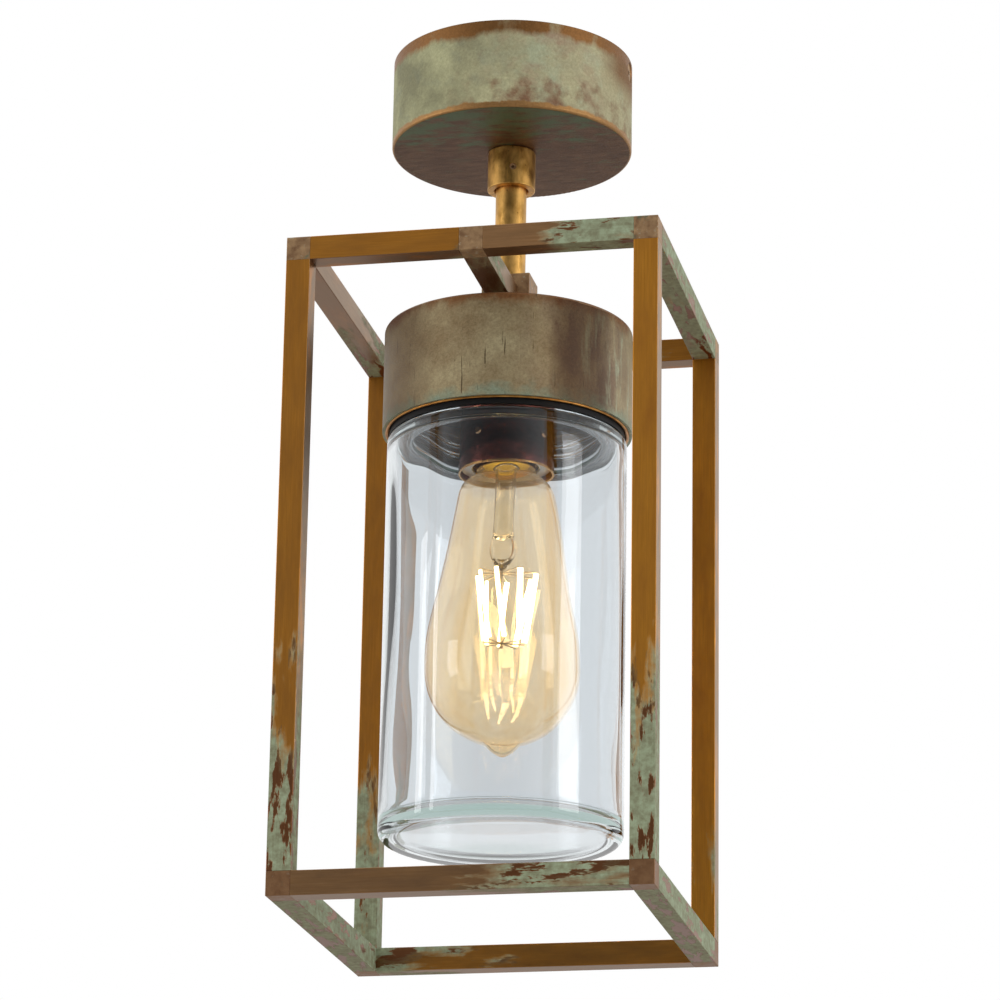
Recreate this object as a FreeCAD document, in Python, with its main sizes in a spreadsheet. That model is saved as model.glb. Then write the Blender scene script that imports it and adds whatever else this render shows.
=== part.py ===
import math
import os
import re

import FreeCAD
import Part
import Sketcher

os.makedirs("parts", exist_ok=True)
doc = FreeCAD.newDocument("porch_ceiling_lantern")

# Z = 0 is the ceiling and +Z points up into it, with the stem on the Z axis.
# Millimetres throughout.

# ---------------------------------------------------------------- driving dimensions

DRIVING = {
    # canopy against the ceiling
    "canopy_radius": 51.0,
    "canopy_height": 39.2,
    "canopy_wall": 1.2,
    "canopy_edge": 1.2,
    "side_screw_drop": 5.5,
    "side_screw_radius": 2.0,
    "side_screw_head": 3.9,
    "side_screw_length": 8.0,
    "side_screw_sink": 0.6,
    "side_screw_socket": 1.2,
    # ceiling bracket, a folded steel strap
    "strap_width": 20.0,
    "strap_thickness": 2.0,
    "tab_drop": 12.0,
    "ceiling_hole_radius": 2.5,
    "ceiling_hole_spacing": 60.0,
    "cable_hole_radius": 6.0,
    # terminal block under the strap
    "terminal_length": 16.0,
    "terminal_width": 18.0,
    "terminal_height": 12.0,
    "terminal_offset": 8.5,
    "pole_pitch": 9.0,
    "wire_screw_radius": 1.7,
    "wire_screw_length": 5.0,
    "earth_offset": 16.0,
    "earth_screw_length": 8.0,
    "earth_core_drop": 3.0,
    # hollow threaded nipples, nuts and washers
    "nipple_radius": 5.0,
    "nipple_bore": 3.6,
    "canopy_nipple_length": 13.6,
    "nipple_reach": 10.0,
    "nipple_proud": 1.4,
    "nut_width": 14.0,
    "nut_thickness": 5.0,
    "washer_radius": 9.0,
    "washer_thickness": 1.0,
    # collar, its grub screw and the stem
    "collar_radius": 10.1,
    "collar_height": 17.5,
    "collar_web": 4.5,
    "collar_edge": 0.8,
    "collar_mouth_width": 0.8,
    "collar_mouth_depth": 1.2,
    "grub_drop": 9.9,
    "grub_radius": 1.5,
    "grub_sink": 0.5,
    "grub_socket": 0.75,
    "grub_socket_depth": 1.5,
    "grub_angle": -75.0,
    "stem_radius": 6.54,
    "stem_bore": 4.4,
    "stem_groove_depth": 1.0,
    "stem_seat": 12.6,
    # square tube frame
    "frame_width": 154.0,
    "frame_height": 275.0,
    "frame_drop": 102.5,
    "tube_side": 10.0,
    "tube_wall": 1.2,
    "tube_edge": 0.35,
    "spigot_length": 6.0,
    "block_width": 20.5,
    "block_depth": 17.4,
    "block_rise": 5.1,
    # lamp housing
    "housing_radius": 52.1,
    "housing_height": 44.6,
    "housing_gap": 19.1,
    "housing_wall": 1.2,
    "housing_edge": 1.4,
    # threaded ring in the housing
    "ring_height": 16.0,
    "ring_lip": 0.7,
    "ring_lip_width": 1.4,
    "ring_recess": 1.7,
    "jar_thread_clearance": 0.6,
    # jar and its gasket
    "gasket_height": 3.8,
    "gasket_inset": 0.5,
    "housing_overhang": 2.1,
    "jar_height": 171.4,
    "jar_wall": 3.5,
    "jar_floor": 5.0,
    "jar_corner": 4.0,
    "jar_shoulder_corner": 2.5,
    "jar_shoulder_width": 9.0,
    "jar_neck_wall": 2.1,
    "jar_neck_height": 13.0,
    "jar_neck_corner": 0.6,
    "jar_thread_pitch": 4.0,
    "jar_thread_depth": 1.25,
    "jar_thread_turns": 1.5,
    "jar_thread_root": 2.0,
    "jar_thread_crest": 1.0,
    "jar_thread_start": 4.0,
    # lampholder
    "holder_radius": 19.2,
    "holder_height": 55.0,
    "holder_wall": 0.8,
    "holder_edge": 3.0,
    "rivet_rise": 13.9,
    "rivet_radius": 1.2,
    "rivet_head": 1.7,
    "rivet_head_height": 0.6,
    "rivet_depth": 2.0,
    "rivet_angle": -26.0,
    "insulator_inset": 2.3,
    "insulator_floor": 6.0,
    "insulator_edge": 1.0,
    "socket_radius": 13.55,
    "socket_wall": 0.45,
    "socket_height": 22.0,
    "socket_inset": 0.5,
    "contact_radius": 3.0,
    "contact_stud": 1.8,
    "contact_stud_proud": 1.0,
    "contact_thickness": 0.8,
    # filament lamp
    "lamp_seat": 1.7,
    "lamp_radius": 32.0,
    "lamp_wall": 0.8,
    "lamp_length": 122.6,
    "lamp_crown": 85.8,
    "lamp_neck_radius": 11.4,
    "lamp_neck_reach": 8.0,
    "lamp_neck_straight": 1.0,
    "lamp_pip_angle": 74.0,
    "lamp_pip_radius": 4.2,
    "lamp_pip_height": 2.0,
    "lamp_cap_height": 17.6,
    "lamp_cap_radius": 12.15,
    "lamp_cap_wall": 0.4,
    "lamp_thread_pitch": 3.629,
    "lamp_thread_depth": 0.9,
    "lamp_thread_turns": 3.5,
    "lamp_thread_root": 2.0,
    "lamp_thread_crest": 0.8,
    "lamp_thread_rise": 2.2,
    "lamp_insulator_height": 6.6,
    "lamp_contact_radius": 4.6,
    "lamp_contact_height": 1.8,
    "lamp_stem_radius": 5.0,
    "lamp_stem_length": 44.0,
    "lamp_stem_tip": 2.1,
    "lamp_stem_taper": 12.6,
    "lamp_stem_flare": 3.0,
    "lamp_stem_round": 5.0,
    "filament_length": 30.0,
    "filament_radius": 0.9,
    "filament_top_spread": 12.0,
    "filament_foot_spread": 8.0,
    "filament_twist": 18.0,
    "filament_count": 8,
    "support_radius": 0.6,
    "support_arm_radius": 0.3,
    "support_inset": 1.0,
    "support_tail": 3.0,
    # wiring
    "sheath_radius": 3.0,
    "core_radius": 1.0,
    "core_pitch": 2.6,
    "sheath_reach": 4.0,
    "sheath_tail": 2.0,
    # clearances
    "seat_gap": 0.05,
    "running_gap": 0.06,
    "part_gap": 0.3,
    # how far a cutter runs past a face, and a ridge into its wall
    "overcut": 1.0,
    "ridge_bury": 0.6,
}

# heights and radii that follow from the driving dimensions
DERIVED = {
    "canopy_floor": "-canopy_height",
    "canopy_inner": "canopy_radius - canopy_wall",
    "canopy_deck": "canopy_floor + canopy_wall",
    "side_screw_z": "-side_screw_drop",
    "screw_face": "canopy_radius - side_screw_sink",
    "screw_neck": "screw_face - side_screw_head + side_screw_radius",
    "tab_x": "canopy_inner - strap_thickness",
    "nipple_top": "canopy_floor - collar_web + canopy_nipple_length",
    "collar_foot": "canopy_floor - collar_height",
    "collar_seat": "canopy_floor - collar_web",
    "collar_bore": "stem_radius + running_gap",
    "grub_z": "canopy_floor - grub_drop",
    "stem_top": "collar_seat - part_gap",
    "groove_floor": "stem_radius - stem_groove_depth",
    "frame_top": "-frame_drop",
    "frame_foot": "frame_top - frame_height",
    "half_frame": "frame_width / 2",
    "tube_axis": "half_frame - tube_side / 2",
    "top_axis": "frame_top - tube_side / 2",
    "foot_axis": "frame_foot + tube_side / 2",
    "tube_bore": "tube_side - 2 * tube_wall",
    "spigot_side": "tube_bore - 2 * seat_gap",
    "block_top": "frame_top + block_rise",
    "stem_foot": "block_top - stem_seat",
    "housing_top": "frame_top - housing_gap",
    "housing_rim": "housing_top - housing_height",
    "housing_inner": "housing_radius - housing_wall",
    "housing_deck": "housing_top - housing_wall",
    "jar_radius": "housing_radius - housing_overhang",
    "jar_neck_radius": "jar_radius - jar_shoulder_width",
    "ring_bore": "jar_neck_radius + jar_thread_depth + jar_thread_clearance",
    "ring_foot": "housing_rim - ring_lip",
    "ring_top": "ring_foot + ring_height",
    "ring_outer": "housing_inner - seat_gap",
    "ring_floor": "ring_foot + ring_recess",
    "gasket_outer": "ring_outer - ring_lip_width - part_gap",
    "gasket_bore": "ring_bore + gasket_inset",
    "gasket_top": "ring_floor - seat_gap",
    "gasket_foot": "gasket_top - gasket_height",
    "jar_shoulder": "gasket_foot - seat_gap",
    "jar_foot": "jar_shoulder - jar_height",
    "jar_inner": "jar_radius - jar_wall",
    "jar_neck_top": "jar_shoulder + jar_neck_height",
    "jar_neck_bore": "jar_neck_radius - jar_neck_wall",
    "holder_top": "housing_deck - washer_thickness - nut_thickness",
    "holder_rim": "holder_top - holder_height",
    "holder_inner": "holder_radius - holder_wall",
    "rivet_z": "holder_rim + rivet_rise",
    "insulator_radius": "holder_inner - seat_gap",
    "insulator_foot": "holder_rim + insulator_inset",
    "socket_outer": "socket_radius + socket_wall",
    "socket_foot": "insulator_foot + socket_inset",
    "socket_top": "socket_foot + socket_height",
    "lamp_collar": "holder_rim + lamp_seat",
    "lamp_tip": "lamp_collar - lamp_length",
    "lamp_equator": "lamp_collar - lamp_crown",
    "lamp_cap_top": "lamp_collar + lamp_cap_height",
    "lamp_contact_foot": "lamp_cap_top + lamp_insulator_height",
    "lamp_contact_top": "lamp_contact_foot + lamp_contact_height",
    "contact_foot": "lamp_contact_top + part_gap",
    "insulator_roof": "contact_foot + contact_thickness + seat_gap",
    "insulator_top": "insulator_roof + insulator_floor",
    "lamp_stem_foot": "lamp_collar - lamp_stem_length",
    "filament_foot": "lamp_stem_foot - filament_length",
    "holder_nut_foot": "holder_top - holder_wall - nut_thickness",
    "nipple_foot": "holder_nut_foot - nipple_proud",
    "terminal_foot": "-strap_thickness - terminal_height",
    "terminal_z": "-strap_thickness - terminal_height / 2",
    "pole_x": "terminal_offset + terminal_length / 2",
    "grub_tip": "groove_floor + 2 * running_gap",
    "grub_face": "collar_radius - grub_sink",
    "groove_half": "grub_radius + part_gap",
    "housing_nipple_top": "stem_foot + nipple_reach",
    "jar_thread_z": "jar_shoulder + jar_thread_start",
    "ring_thread_start": "jar_thread_z + jar_thread_pitch / 2",
    "lamp_thread_z": "lamp_collar + lamp_thread_rise",
    "socket_thread_start": "lamp_thread_z + lamp_thread_pitch / 2",
    "sheath_top": "nipple_top + sheath_reach",
    "sheath_foot": "nipple_foot - sheath_tail",
}

CELLS = {**DRIVING, **DERIVED}
sheet = doc.addObject("Spreadsheet::Sheet", "sizes")
for row, (alias, content) in enumerate(CELLS.items(), 1):
    sheet.set(f"A{row}", alias)
    sheet.set(f"B{row}", f"={content}" if alias in DERIVED else str(content))
    sheet.setAlias(f"B{row}", alias)
doc.recompute()


# ---------------------------------------------------------------- modelling helpers

def formula(text):
    """The expression with each size read from the sheet."""
    return re.sub(r"[a-z]\w*", lambda m: f"sizes.{m[0]}" if m[0] in CELLS else m[0], text)


def value(text):
    """The number that an expression of sizes gives."""
    return float(sheet.evalExpression(text))


def bind(thing, **expressions):
    """Ties properties of a feature to expressions of sizes."""
    for name, text in expressions.items():
        thing.setExpression(name, formula(text))
    return thing


def place(thing, x="0", y="0", z="0", turn=(0, 0, 0)):
    """Stands a feature at x, y, z, turned by yaw, pitch and roll in degrees."""
    thing.Placement = FreeCAD.Placement(FreeCAD.Vector(), FreeCAD.Rotation(*turn))
    for axis, text in zip("xyz", (x, y, z)):
        thing.setExpression(f".Placement.Base.{axis}", formula(text))
    return thing


PIECES = {}


def piece(name, thing):
    """Names a finished sub-part and keeps it for export."""
    thing.Label = name
    PIECES[name] = thing
    return thing


def new_body(name):
    return doc.addObject("PartDesign::Body", name)


def new_sketch(body, plane, lift="0"):
    """A sketch on one of the body's own origin planes, lifted along the plane's normal."""
    sketch = body.newObject("Sketcher::SketchObject", f"{body.Name}_sketch")
    support = next(f for f in body.Origin.OriginFeatures if f.Role == plane)
    sketch.AttachmentSupport = [(support, "")]
    sketch.MapMode = "FlatFace"
    sketch.setExpression("AttachmentOffset.Base.z", formula(lift))
    return sketch


def hold(sketch, rules, geometry, end, x, y):
    """Adds the rules that keep a point at x, y from the sketch's origin."""
    for kind, axis, text in (("DistanceX", -2, x), ("DistanceY", -1, y)):
        if text == "0":
            rules.append((Sketcher.Constraint("PointOnObject", geometry, end, axis), None))
        else:
            rules.append((Sketcher.Constraint(kind, -1, 1, geometry, end, value(text)), text))


def apply_rules(sketch, rules):
    for rule, text in rules:
        index = sketch.addConstraint(rule)
        if text:
            sketch.setExpression(f"Constraints[{index}]", formula(text))


def draw_outline(sketch, corners):
    """A closed outline through corners (x, y) or, rounded, (x, y, radius)."""
    spots = [FreeCAD.Vector(value(c[0]), value(c[1]), 0) for c in corners]
    radii = [value(c[2]) if len(c) > 2 else 0.0 for c in corners]
    count = len(corners)
    ahead = [(spots[(i + 1) % count] - spots[i]).normalize() for i in range(count)]
    turns = [math.atan2(ahead[i - 1].cross(ahead[i]).z, ahead[i - 1].dot(ahead[i]))
             for i in range(count)]
    trims = [radii[i] * math.tan(abs(turns[i]) / 2) for i in range(count)]
    rules = []
    edges = []
    for i in range(count):
        after = (i + 1) % count
        start = spots[i] + ahead[i] * trims[i]
        finish = spots[after] - ahead[i] * trims[after]
        edges.append(sketch.addGeometry(Part.LineSegment(start, finish), False))
    for i, corner in enumerate(corners):
        if not radii[i]:
            rules.append((Sketcher.Constraint("Coincident", edges[i - 1], 2, edges[i], 1), None))
            hold(sketch, rules, edges[i], 1, corner[0], corner[1])
            continue
        left = 1 if turns[i] > 0 else -1
        start = spots[i] - ahead[i - 1] * trims[i]
        side = FreeCAD.Vector(-ahead[i - 1].y, ahead[i - 1].x, 0) * left
        centre = start + side * radii[i]
        first = math.atan2(-side.y, -side.x)
        span = sorted((first, first + turns[i]))
        circle = Part.Circle(centre, FreeCAD.Vector(0, 0, 1), radii[i])
        arc = sketch.addGeometry(Part.ArcOfCircle(circle, *span), False)
        enter, leave = (1, 2) if left > 0 else (2, 1)
        point = sketch.addGeometry(Part.Point(spots[i]), True)
        rules += [
            (Sketcher.Constraint("Tangent", edges[i - 1], 2, arc, enter), None),
            (Sketcher.Constraint("Tangent", arc, leave, edges[i], 1), None),
            (Sketcher.Constraint("PointOnObject", point, 1, edges[i - 1]), None),
            (Sketcher.Constraint("PointOnObject", point, 1, edges[i]), None),
            (Sketcher.Constraint("Radius", arc, radii[i]), corner[2]),
        ]
        hold(sketch, rules, point, 1, corner[0], corner[1])
    apply_rules(sketch, rules)


def draw_circles(sketch, circles):
    """Circles (x, y, radius)."""
    rules = []
    for x, y, radius in circles:
        centre = FreeCAD.Vector(value(x), value(y), 0)
        circle = Part.Circle(centre, FreeCAD.Vector(0, 0, 1), value(radius))
        number = sketch.addGeometry(circle, False)
        rules.append((Sketcher.Constraint("Radius", number, value(radius)), radius))
        hold(sketch, rules, number, 3, x, y)
    apply_rules(sketch, rules)


def box_corners(width, depth, edge="", x="0", y="0"):
    """The corners of a rectangle centred on x, y."""
    signs = ((-1, -1), (1, -1), (1, 1), (-1, 1))
    corners = [(f"({x}) + {i} * ({width}) / 2", f"({y}) + {j} * ({depth}) / 2") for i, j in signs]
    return [corner + (edge,) for corner in corners] if edge else corners


def turned(name, corners, body=None):
    """A body turned about Z from a half section of (radius, height) corners."""
    body = body or new_body(name)
    sketch = new_sketch(body, "XZ_Plane")
    draw_outline(sketch, corners)
    turning = body.newObject("PartDesign::Revolution", f"{body.Name}_turning")
    turning.Profile = sketch
    turning.ReferenceAxis = (sketch, ["V_Axis"])
    turning.Angle = 360
    return body


def pad(body, sketch, length, both_ways=False, backwards=False):
    feature = body.newObject("PartDesign::Pad", f"{body.Name}_pad")
    feature.Profile = sketch
    feature.Midplane = both_ways
    feature.Reversed = backwards
    return bind(feature, Length=length)


def drill(body, plane, circles, depth="", lift="0"):
    """Round holes, right through the body or to a depth below the sketch."""
    sketch = new_sketch(body, plane, lift)
    draw_circles(sketch, circles)
    feature = body.newObject("PartDesign::Pocket", f"{body.Name}_holes")
    feature.Profile = sketch
    if depth:
        return bind(feature, Length=depth)
    feature.Type = "ThroughAll"
    feature.Midplane = True
    return feature


def helical_ridge(body, root, crest, start, family):
    """A right-hand ridge wound about Z between two radii, in a family of thread sizes."""
    sketch = new_sketch(body, "XZ_Plane")
    corners = [
        (root, f"{start} - {family}_root / 2"),
        (crest, f"{start} - {family}_crest / 2"),
        (crest, f"{start} + {family}_crest / 2"),
        (root, f"{start} + {family}_root / 2"),
    ]
    draw_outline(sketch, corners if value(crest) > value(root) else corners[::-1])
    ridge = body.newObject("PartDesign::AdditiveHelix", f"{body.Name}_thread")
    ridge.Profile = sketch
    ridge.ReferenceAxis = (sketch, ["V_Axis"])
    ridge.Mode = "pitch-turns-angle"
    ridge.Angle = 0
    return bind(ridge, Pitch=f"{family}_pitch", Turns=f"{family}_turns")


def cylinder(name, radius, height, **spot):
    return place(bind(doc.addObject("Part::Cylinder", name), Radius=radius, Height=height), **spot)


def cone(name, foot_radius, top_radius, height, **spot):
    thing = bind(doc.addObject("Part::Cone", name), Radius1=foot_radius, Radius2=top_radius)
    return place(bind(thing, Height=height), **spot)


def box(name, length, width, height, **spot):
    thing = bind(doc.addObject("Part::Box", name), Length=length, Width=width, Height=height)
    return place(thing, **spot)


def join(name, *things):
    fused = doc.addObject("Part::MultiFuse", name)
    fused.Shapes = list(things)
    return fused


def cut(name, base, *tools):
    result = doc.addObject("Part::Cut", name)
    result.Base = base
    result.Tool = tools[0] if len(tools) == 1 else join(f"{name}_tools", *tools)
    return result


def group(name, *things):
    """Like pieces that stay separate solids under one name."""
    compound = doc.addObject("Part::Compound", name)
    compound.Links = list(things)
    return compound


def radial(distance, angle):
    """Where a point stands at a distance from Z, and the turn that lays Z outwards there."""
    where = {"x": f"({distance}) * cos({angle})", "y": f"({distance}) * sin({angle})"}
    return {**where, "turn": (value(angle), 90, 0)}


def shaped(name, shape):
    """A piece whose shape is worked out here, from sizes read from the sheet."""
    thing = doc.addObject("Part::Feature", name)
    thing.Shape = shape
    return thing


def wire_run(points, radius):
    """A round wire along straight runs joined by arcs as wide as the runs allow."""
    points = [FreeCAD.Vector(*point) for point in points]
    edges = []
    start = points[0]
    for before, corner, after in zip(points, points[1:], points[2:]):
        back, ahead = before - corner, after - corner
        half_turn = (math.pi - back.getAngle(ahead)) / 2
        trim = 0.45 * min(back.Length, ahead.Length)
        bend = trim / math.tan(half_turn)
        back.normalize()
        ahead.normalize()
        enter, leave = corner + back * trim, corner + ahead * trim
        middle_way = (back + ahead).normalize()
        middle = corner + middle_way * (bend / math.cos(half_turn) - bend)
        edges += [Part.LineSegment(start, enter).toShape(), Part.Arc(enter, middle, leave).toShape()]
        print(f"wire bend radius {bend:.1f} mm, wire radius {radius:.2f} mm")
        start = leave
    edges.append(Part.LineSegment(start, points[-1]).toShape())
    path = Part.Wire(edges)
    section = Part.Wire(Part.Circle(points[0], points[1] - points[0], radius).toShape())
    tube = path.makePipeShell([section], True, False)
    expected = math.pi * radius ** 2 * path.Length
    print(f"wire volume {tube.Volume:.1f} of {expected:.1f} mm3")
    return tube


# ---------------------------------------------------------------- canopy

canopy_turning = turned("canopy_turning", [
    ("nipple_radius + seat_gap", "canopy_floor"),
    ("canopy_radius", "canopy_floor", "canopy_edge"),
    ("canopy_radius", "0"),
    ("canopy_inner", "0"),
    ("canopy_inner", "canopy_deck"),
    ("nipple_radius + seat_gap", "canopy_deck"),
])


def side_cone(name, angle, foot, top, height, start):
    """A cone lying on the side screws' axis, from a distance outwards."""
    return cone(name, foot, top, height, z="side_screw_z", **radial(start, angle))


SIDES = ("0", "180")
dimples = [
    side_cone(f"side_dimple_{side}", side, "side_screw_radius + 2 * seat_gap",
              "side_screw_head + side_screw_sink + 2 * seat_gap", "canopy_radius - screw_neck",
              "screw_neck")
    for side in SIDES
]
piece("canopy_cup", cut("canopy_cup", canopy_turning, *dimples))


def side_screw(side):
    head = side_cone(f"side_head_{side}", side, "side_screw_radius", "side_screw_head",
                     "screw_face - screw_neck", "screw_neck")
    shank = cylinder(f"side_shank_{side}", "side_screw_radius", "side_screw_length", z="side_screw_z",
                     **radial("screw_neck - side_screw_length", side))
    socket = doc.addObject("Part::Prism", f"side_socket_{side}")
    place(bind(socket, Circumradius="side_screw_socket", Height="side_screw_head"), z="side_screw_z",
          **radial("(screw_face + screw_neck) / 2", side))
    return cut(f"side_screw_{side}", join(f"side_blank_{side}", head, shank), socket)


piece("canopy_screws", group("canopy_screws", *[side_screw(side) for side in SIDES]))

strap = new_body("ceiling_bracket")
strap_sketch = new_sketch(strap, "XZ_Plane")
draw_outline(strap_sketch, [
    ("-tab_x", "-tab_drop"),
    ("-tab_x + strap_thickness", "-tab_drop"),
    ("-tab_x + strap_thickness", "-strap_thickness", "strap_thickness / 2"),
    ("tab_x - strap_thickness", "-strap_thickness", "strap_thickness / 2"),
    ("tab_x - strap_thickness", "-tab_drop"),
    ("tab_x", "-tab_drop"),
    ("tab_x", "0", "strap_thickness"),
    ("-tab_x", "0", "strap_thickness"),
])
pad(strap, strap_sketch, "strap_width", both_ways=True)
drill(strap, "XY_Plane", [
    ("ceiling_hole_spacing / 2", "0", "ceiling_hole_radius"),
    ("-ceiling_hole_spacing / 2", "0", "ceiling_hole_radius"),
    ("0", "0", "cable_hole_radius"),
    ("-earth_offset", "0", "wire_screw_radius + seat_gap"),
])
drill(strap, "YZ_Plane", [("0", "side_screw_z", "side_screw_radius + seat_gap")])
piece("ceiling_bracket", strap)

# ---------------------------------------------------------------- wiring in the canopy

terminal_blank = box("terminal_blank", "terminal_length", "terminal_width", "terminal_height",
                     x="terminal_offset", y="-terminal_width / 2", z="terminal_foot")
POLES = ("1", "-1")
entries = [
    cylinder(f"terminal_entry_{pole}", "core_radius + part_gap", "terminal_length + 2 * overcut",
             x="terminal_offset - overcut", y=f"{pole} * pole_pitch / 2", z="terminal_z", turn=(0, 90, 0))
    for pole in POLES
]
screw_wells = [
    cylinder(f"terminal_well_{pole}", "wire_screw_radius + seat_gap", "wire_screw_length + overcut",
             x="pole_x", y=f"{pole} * pole_pitch / 2", z="terminal_foot - overcut")
    for pole in POLES
]
piece("terminal_block", cut("terminal_block", terminal_blank, *entries, *screw_wells))

pole_screws = [
    cylinder(f"pole_screw_{pole}", "wire_screw_radius", "wire_screw_length", x="pole_x",
             y=f"{pole} * pole_pitch / 2", z="terminal_foot")
    for pole in POLES
]
earth_shank = cylinder("earth_shank", "wire_screw_radius", "earth_screw_length", x="-earth_offset",
                       z="-earth_screw_length")
earth_head = cylinder("earth_head", "2 * wire_screw_radius", "wire_screw_radius", x="-earth_offset",
                      z="-earth_screw_length - wire_screw_radius")
earth_screw = join("earth_screw", earth_shank, earth_head)
piece("terminal_screws", group("terminal_screws", *pole_screws, earth_screw))

# where along its run, as a share, a core bends away from its neighbour, and back
FAN_START, FAN_END = 0.28, 0.72
half_pitch = value("core_pitch / 2")
core_x = value("core_pitch / 3")
core_end = value("terminal_z")
core_start = value("sheath_top + part_gap")
core_radius = value("core_radius")


def pole_core(side):
    """A core from the sheath up and over into its pole of the terminal block."""
    pole_y = side * value("pole_pitch / 2")
    return wire_run([
        (core_x, side * half_pitch, core_start),
        (core_x, side * half_pitch, core_start + FAN_START * (core_end - core_start)),
        (core_x, pole_y, core_end),
        (value("pole_x - wire_screw_radius - part_gap"), pole_y, core_end),
    ], core_radius)


earth_z = value("-strap_thickness - earth_core_drop")
earth_core = wire_run([
    (-2 * core_x, 0, core_start),
    (-2 * core_x, 0, earth_z),
    (value("-earth_offset + wire_screw_radius + seat_gap"), 0, earth_z),
], core_radius)
supply_runs = (pole_core(1), pole_core(-1), earth_core)
piece("supply_cores", group("supply_cores", *[
    shaped(f"supply_core_{i}", run) for i, run in enumerate(supply_runs)]))

# ---------------------------------------------------------------- nipples, nuts and washers


def hollow(name, outer, bore, foot, top):
    """A plain bush on the Z axis."""
    return turned(name, [(bore, foot), (outer, foot), (outer, top), (bore, top)])


def locknut(name, foot):
    blank = doc.addObject("Part::Prism", f"{name}_blank")
    place(bind(blank, Circumradius="nut_width / 2 / cos(30)", Height="nut_thickness"), z=foot)
    bore = cylinder(f"{name}_bore", "nipple_radius + seat_gap", "nut_thickness + 2 * overcut",
                    z=f"{foot} - overcut")
    return cut(name, blank, bore)


piece("canopy_nipple", hollow("canopy_nipple", "nipple_radius", "nipple_bore", "collar_seat", "nipple_top"))
piece("canopy_washer", hollow("canopy_washer", "washer_radius", "nipple_radius + seat_gap",
                              "canopy_deck", "canopy_deck + washer_thickness"))
piece("canopy_locknut", locknut("canopy_locknut", "canopy_deck + washer_thickness"))

# ---------------------------------------------------------------- collar and stem

collar_turning = turned("collar_turning", [
    ("nipple_radius + seat_gap", "canopy_floor"),
    ("collar_radius", "canopy_floor", "collar_edge"),
    ("collar_radius", "collar_foot", "collar_edge / 2"),
    ("collar_bore + collar_mouth_width", "collar_foot"),
    ("collar_bore", "collar_foot + collar_mouth_depth"),
    ("collar_bore", "collar_seat"),
    ("nipple_radius + seat_gap", "collar_seat"),
][::-1])
grub_hole = cylinder("grub_hole", "grub_radius + seat_gap", "collar_radius", z="grub_z",
                     **radial("stem_radius - overcut", "grub_angle"))
piece("stem_collar", cut("stem_collar", collar_turning, grub_hole))

grub_blank = cylinder("grub_blank", "grub_radius", "grub_face - grub_tip", z="grub_z",
                      **radial("grub_tip", "grub_angle"))
grub_socket = doc.addObject("Part::Prism", "grub_socket")
place(bind(grub_socket, Circumradius="grub_socket", Height="grub_socket_depth + overcut"), z="grub_z",
      **radial("grub_face - grub_socket_depth", "grub_angle"))
piece("collar_grub_screw", cut("collar_grub_screw", grub_blank, grub_socket))

piece("stem_tube", turned("stem_tube", [
    ("stem_bore", "stem_top"),
    ("stem_bore", "housing_nipple_top"),
    ("nipple_radius + seat_gap", "housing_nipple_top"),
    ("nipple_radius + seat_gap", "stem_foot"),
    ("stem_radius", "stem_foot"),
    ("stem_radius", "grub_z - groove_half"),
    ("groove_floor", "grub_z - groove_half"),
    ("groove_floor", "grub_z + groove_half"),
    ("stem_radius", "grub_z + groove_half"),
    ("stem_radius", "stem_top"),
]))
piece("flex_sheath", cylinder("flex_sheath", "sheath_radius", "sheath_top - sheath_foot",
                              z="sheath_foot"))

# ---------------------------------------------------------------- square tube frame


def square_tube(name, axis, length, **spot):
    """A length of square tube that runs along an axis from where it stands."""
    turn = {"X": (0, 90, 0), "Y": (0, 0, -90), "Z": (0, 0, 0)}[axis]
    body = new_body(name)
    sketch = new_sketch(body, "XY_Plane")
    draw_outline(sketch, box_corners("tube_side", "tube_side", "tube_edge"))
    draw_outline(sketch, box_corners("tube_bore", "tube_bore"))
    pad(body, sketch, length)
    return piece(name, place(body, turn=turn, **spot))


FRONT_BACK = {"front": "-1", "rear": "1"}
LEFT_RIGHT = {"left": "-1", "right": "1"}

for depth, y_sign in FRONT_BACK.items():
    for side, x_sign in LEFT_RIGHT.items():
        square_tube(f"post_{depth}_{side}", "Z", "frame_height - 2 * tube_side",
                    x=f"{x_sign} * tube_axis", y=f"{y_sign} * tube_axis", z="frame_foot + tube_side")
    square_tube(f"bottom_rail_{depth}", "X", "frame_width - 2 * tube_side", x="tube_side - half_frame",
                y=f"{y_sign} * tube_axis", z="foot_axis")
    square_tube(f"top_rail_{depth}_left", "X", "half_frame - 1.5 * tube_side",
                x="tube_side - half_frame", y=f"{y_sign} * tube_axis", z="top_axis")
    square_tube(f"top_rail_{depth}_right", "X", "half_frame - 1.5 * tube_side", x="tube_side / 2",
                y=f"{y_sign} * tube_axis", z="top_axis")
for side, x_sign in LEFT_RIGHT.items():
    for level, height in {"bottom": "foot_axis", "top": "top_axis"}.items():
        square_tube(f"{level}_rail_{side}", "Y", "frame_width - 2 * tube_side",
                    x=f"{x_sign} * tube_axis", y="tube_side - half_frame", z=height)
CROSSBAR = "half_frame - tube_side - block_depth / 2"
square_tube("crossbar_front", "Y", CROSSBAR, y="tube_side - half_frame", z="top_axis")
square_tube("crossbar_rear", "Y", CROSSBAR, y="block_depth / 2", z="top_axis")


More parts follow.
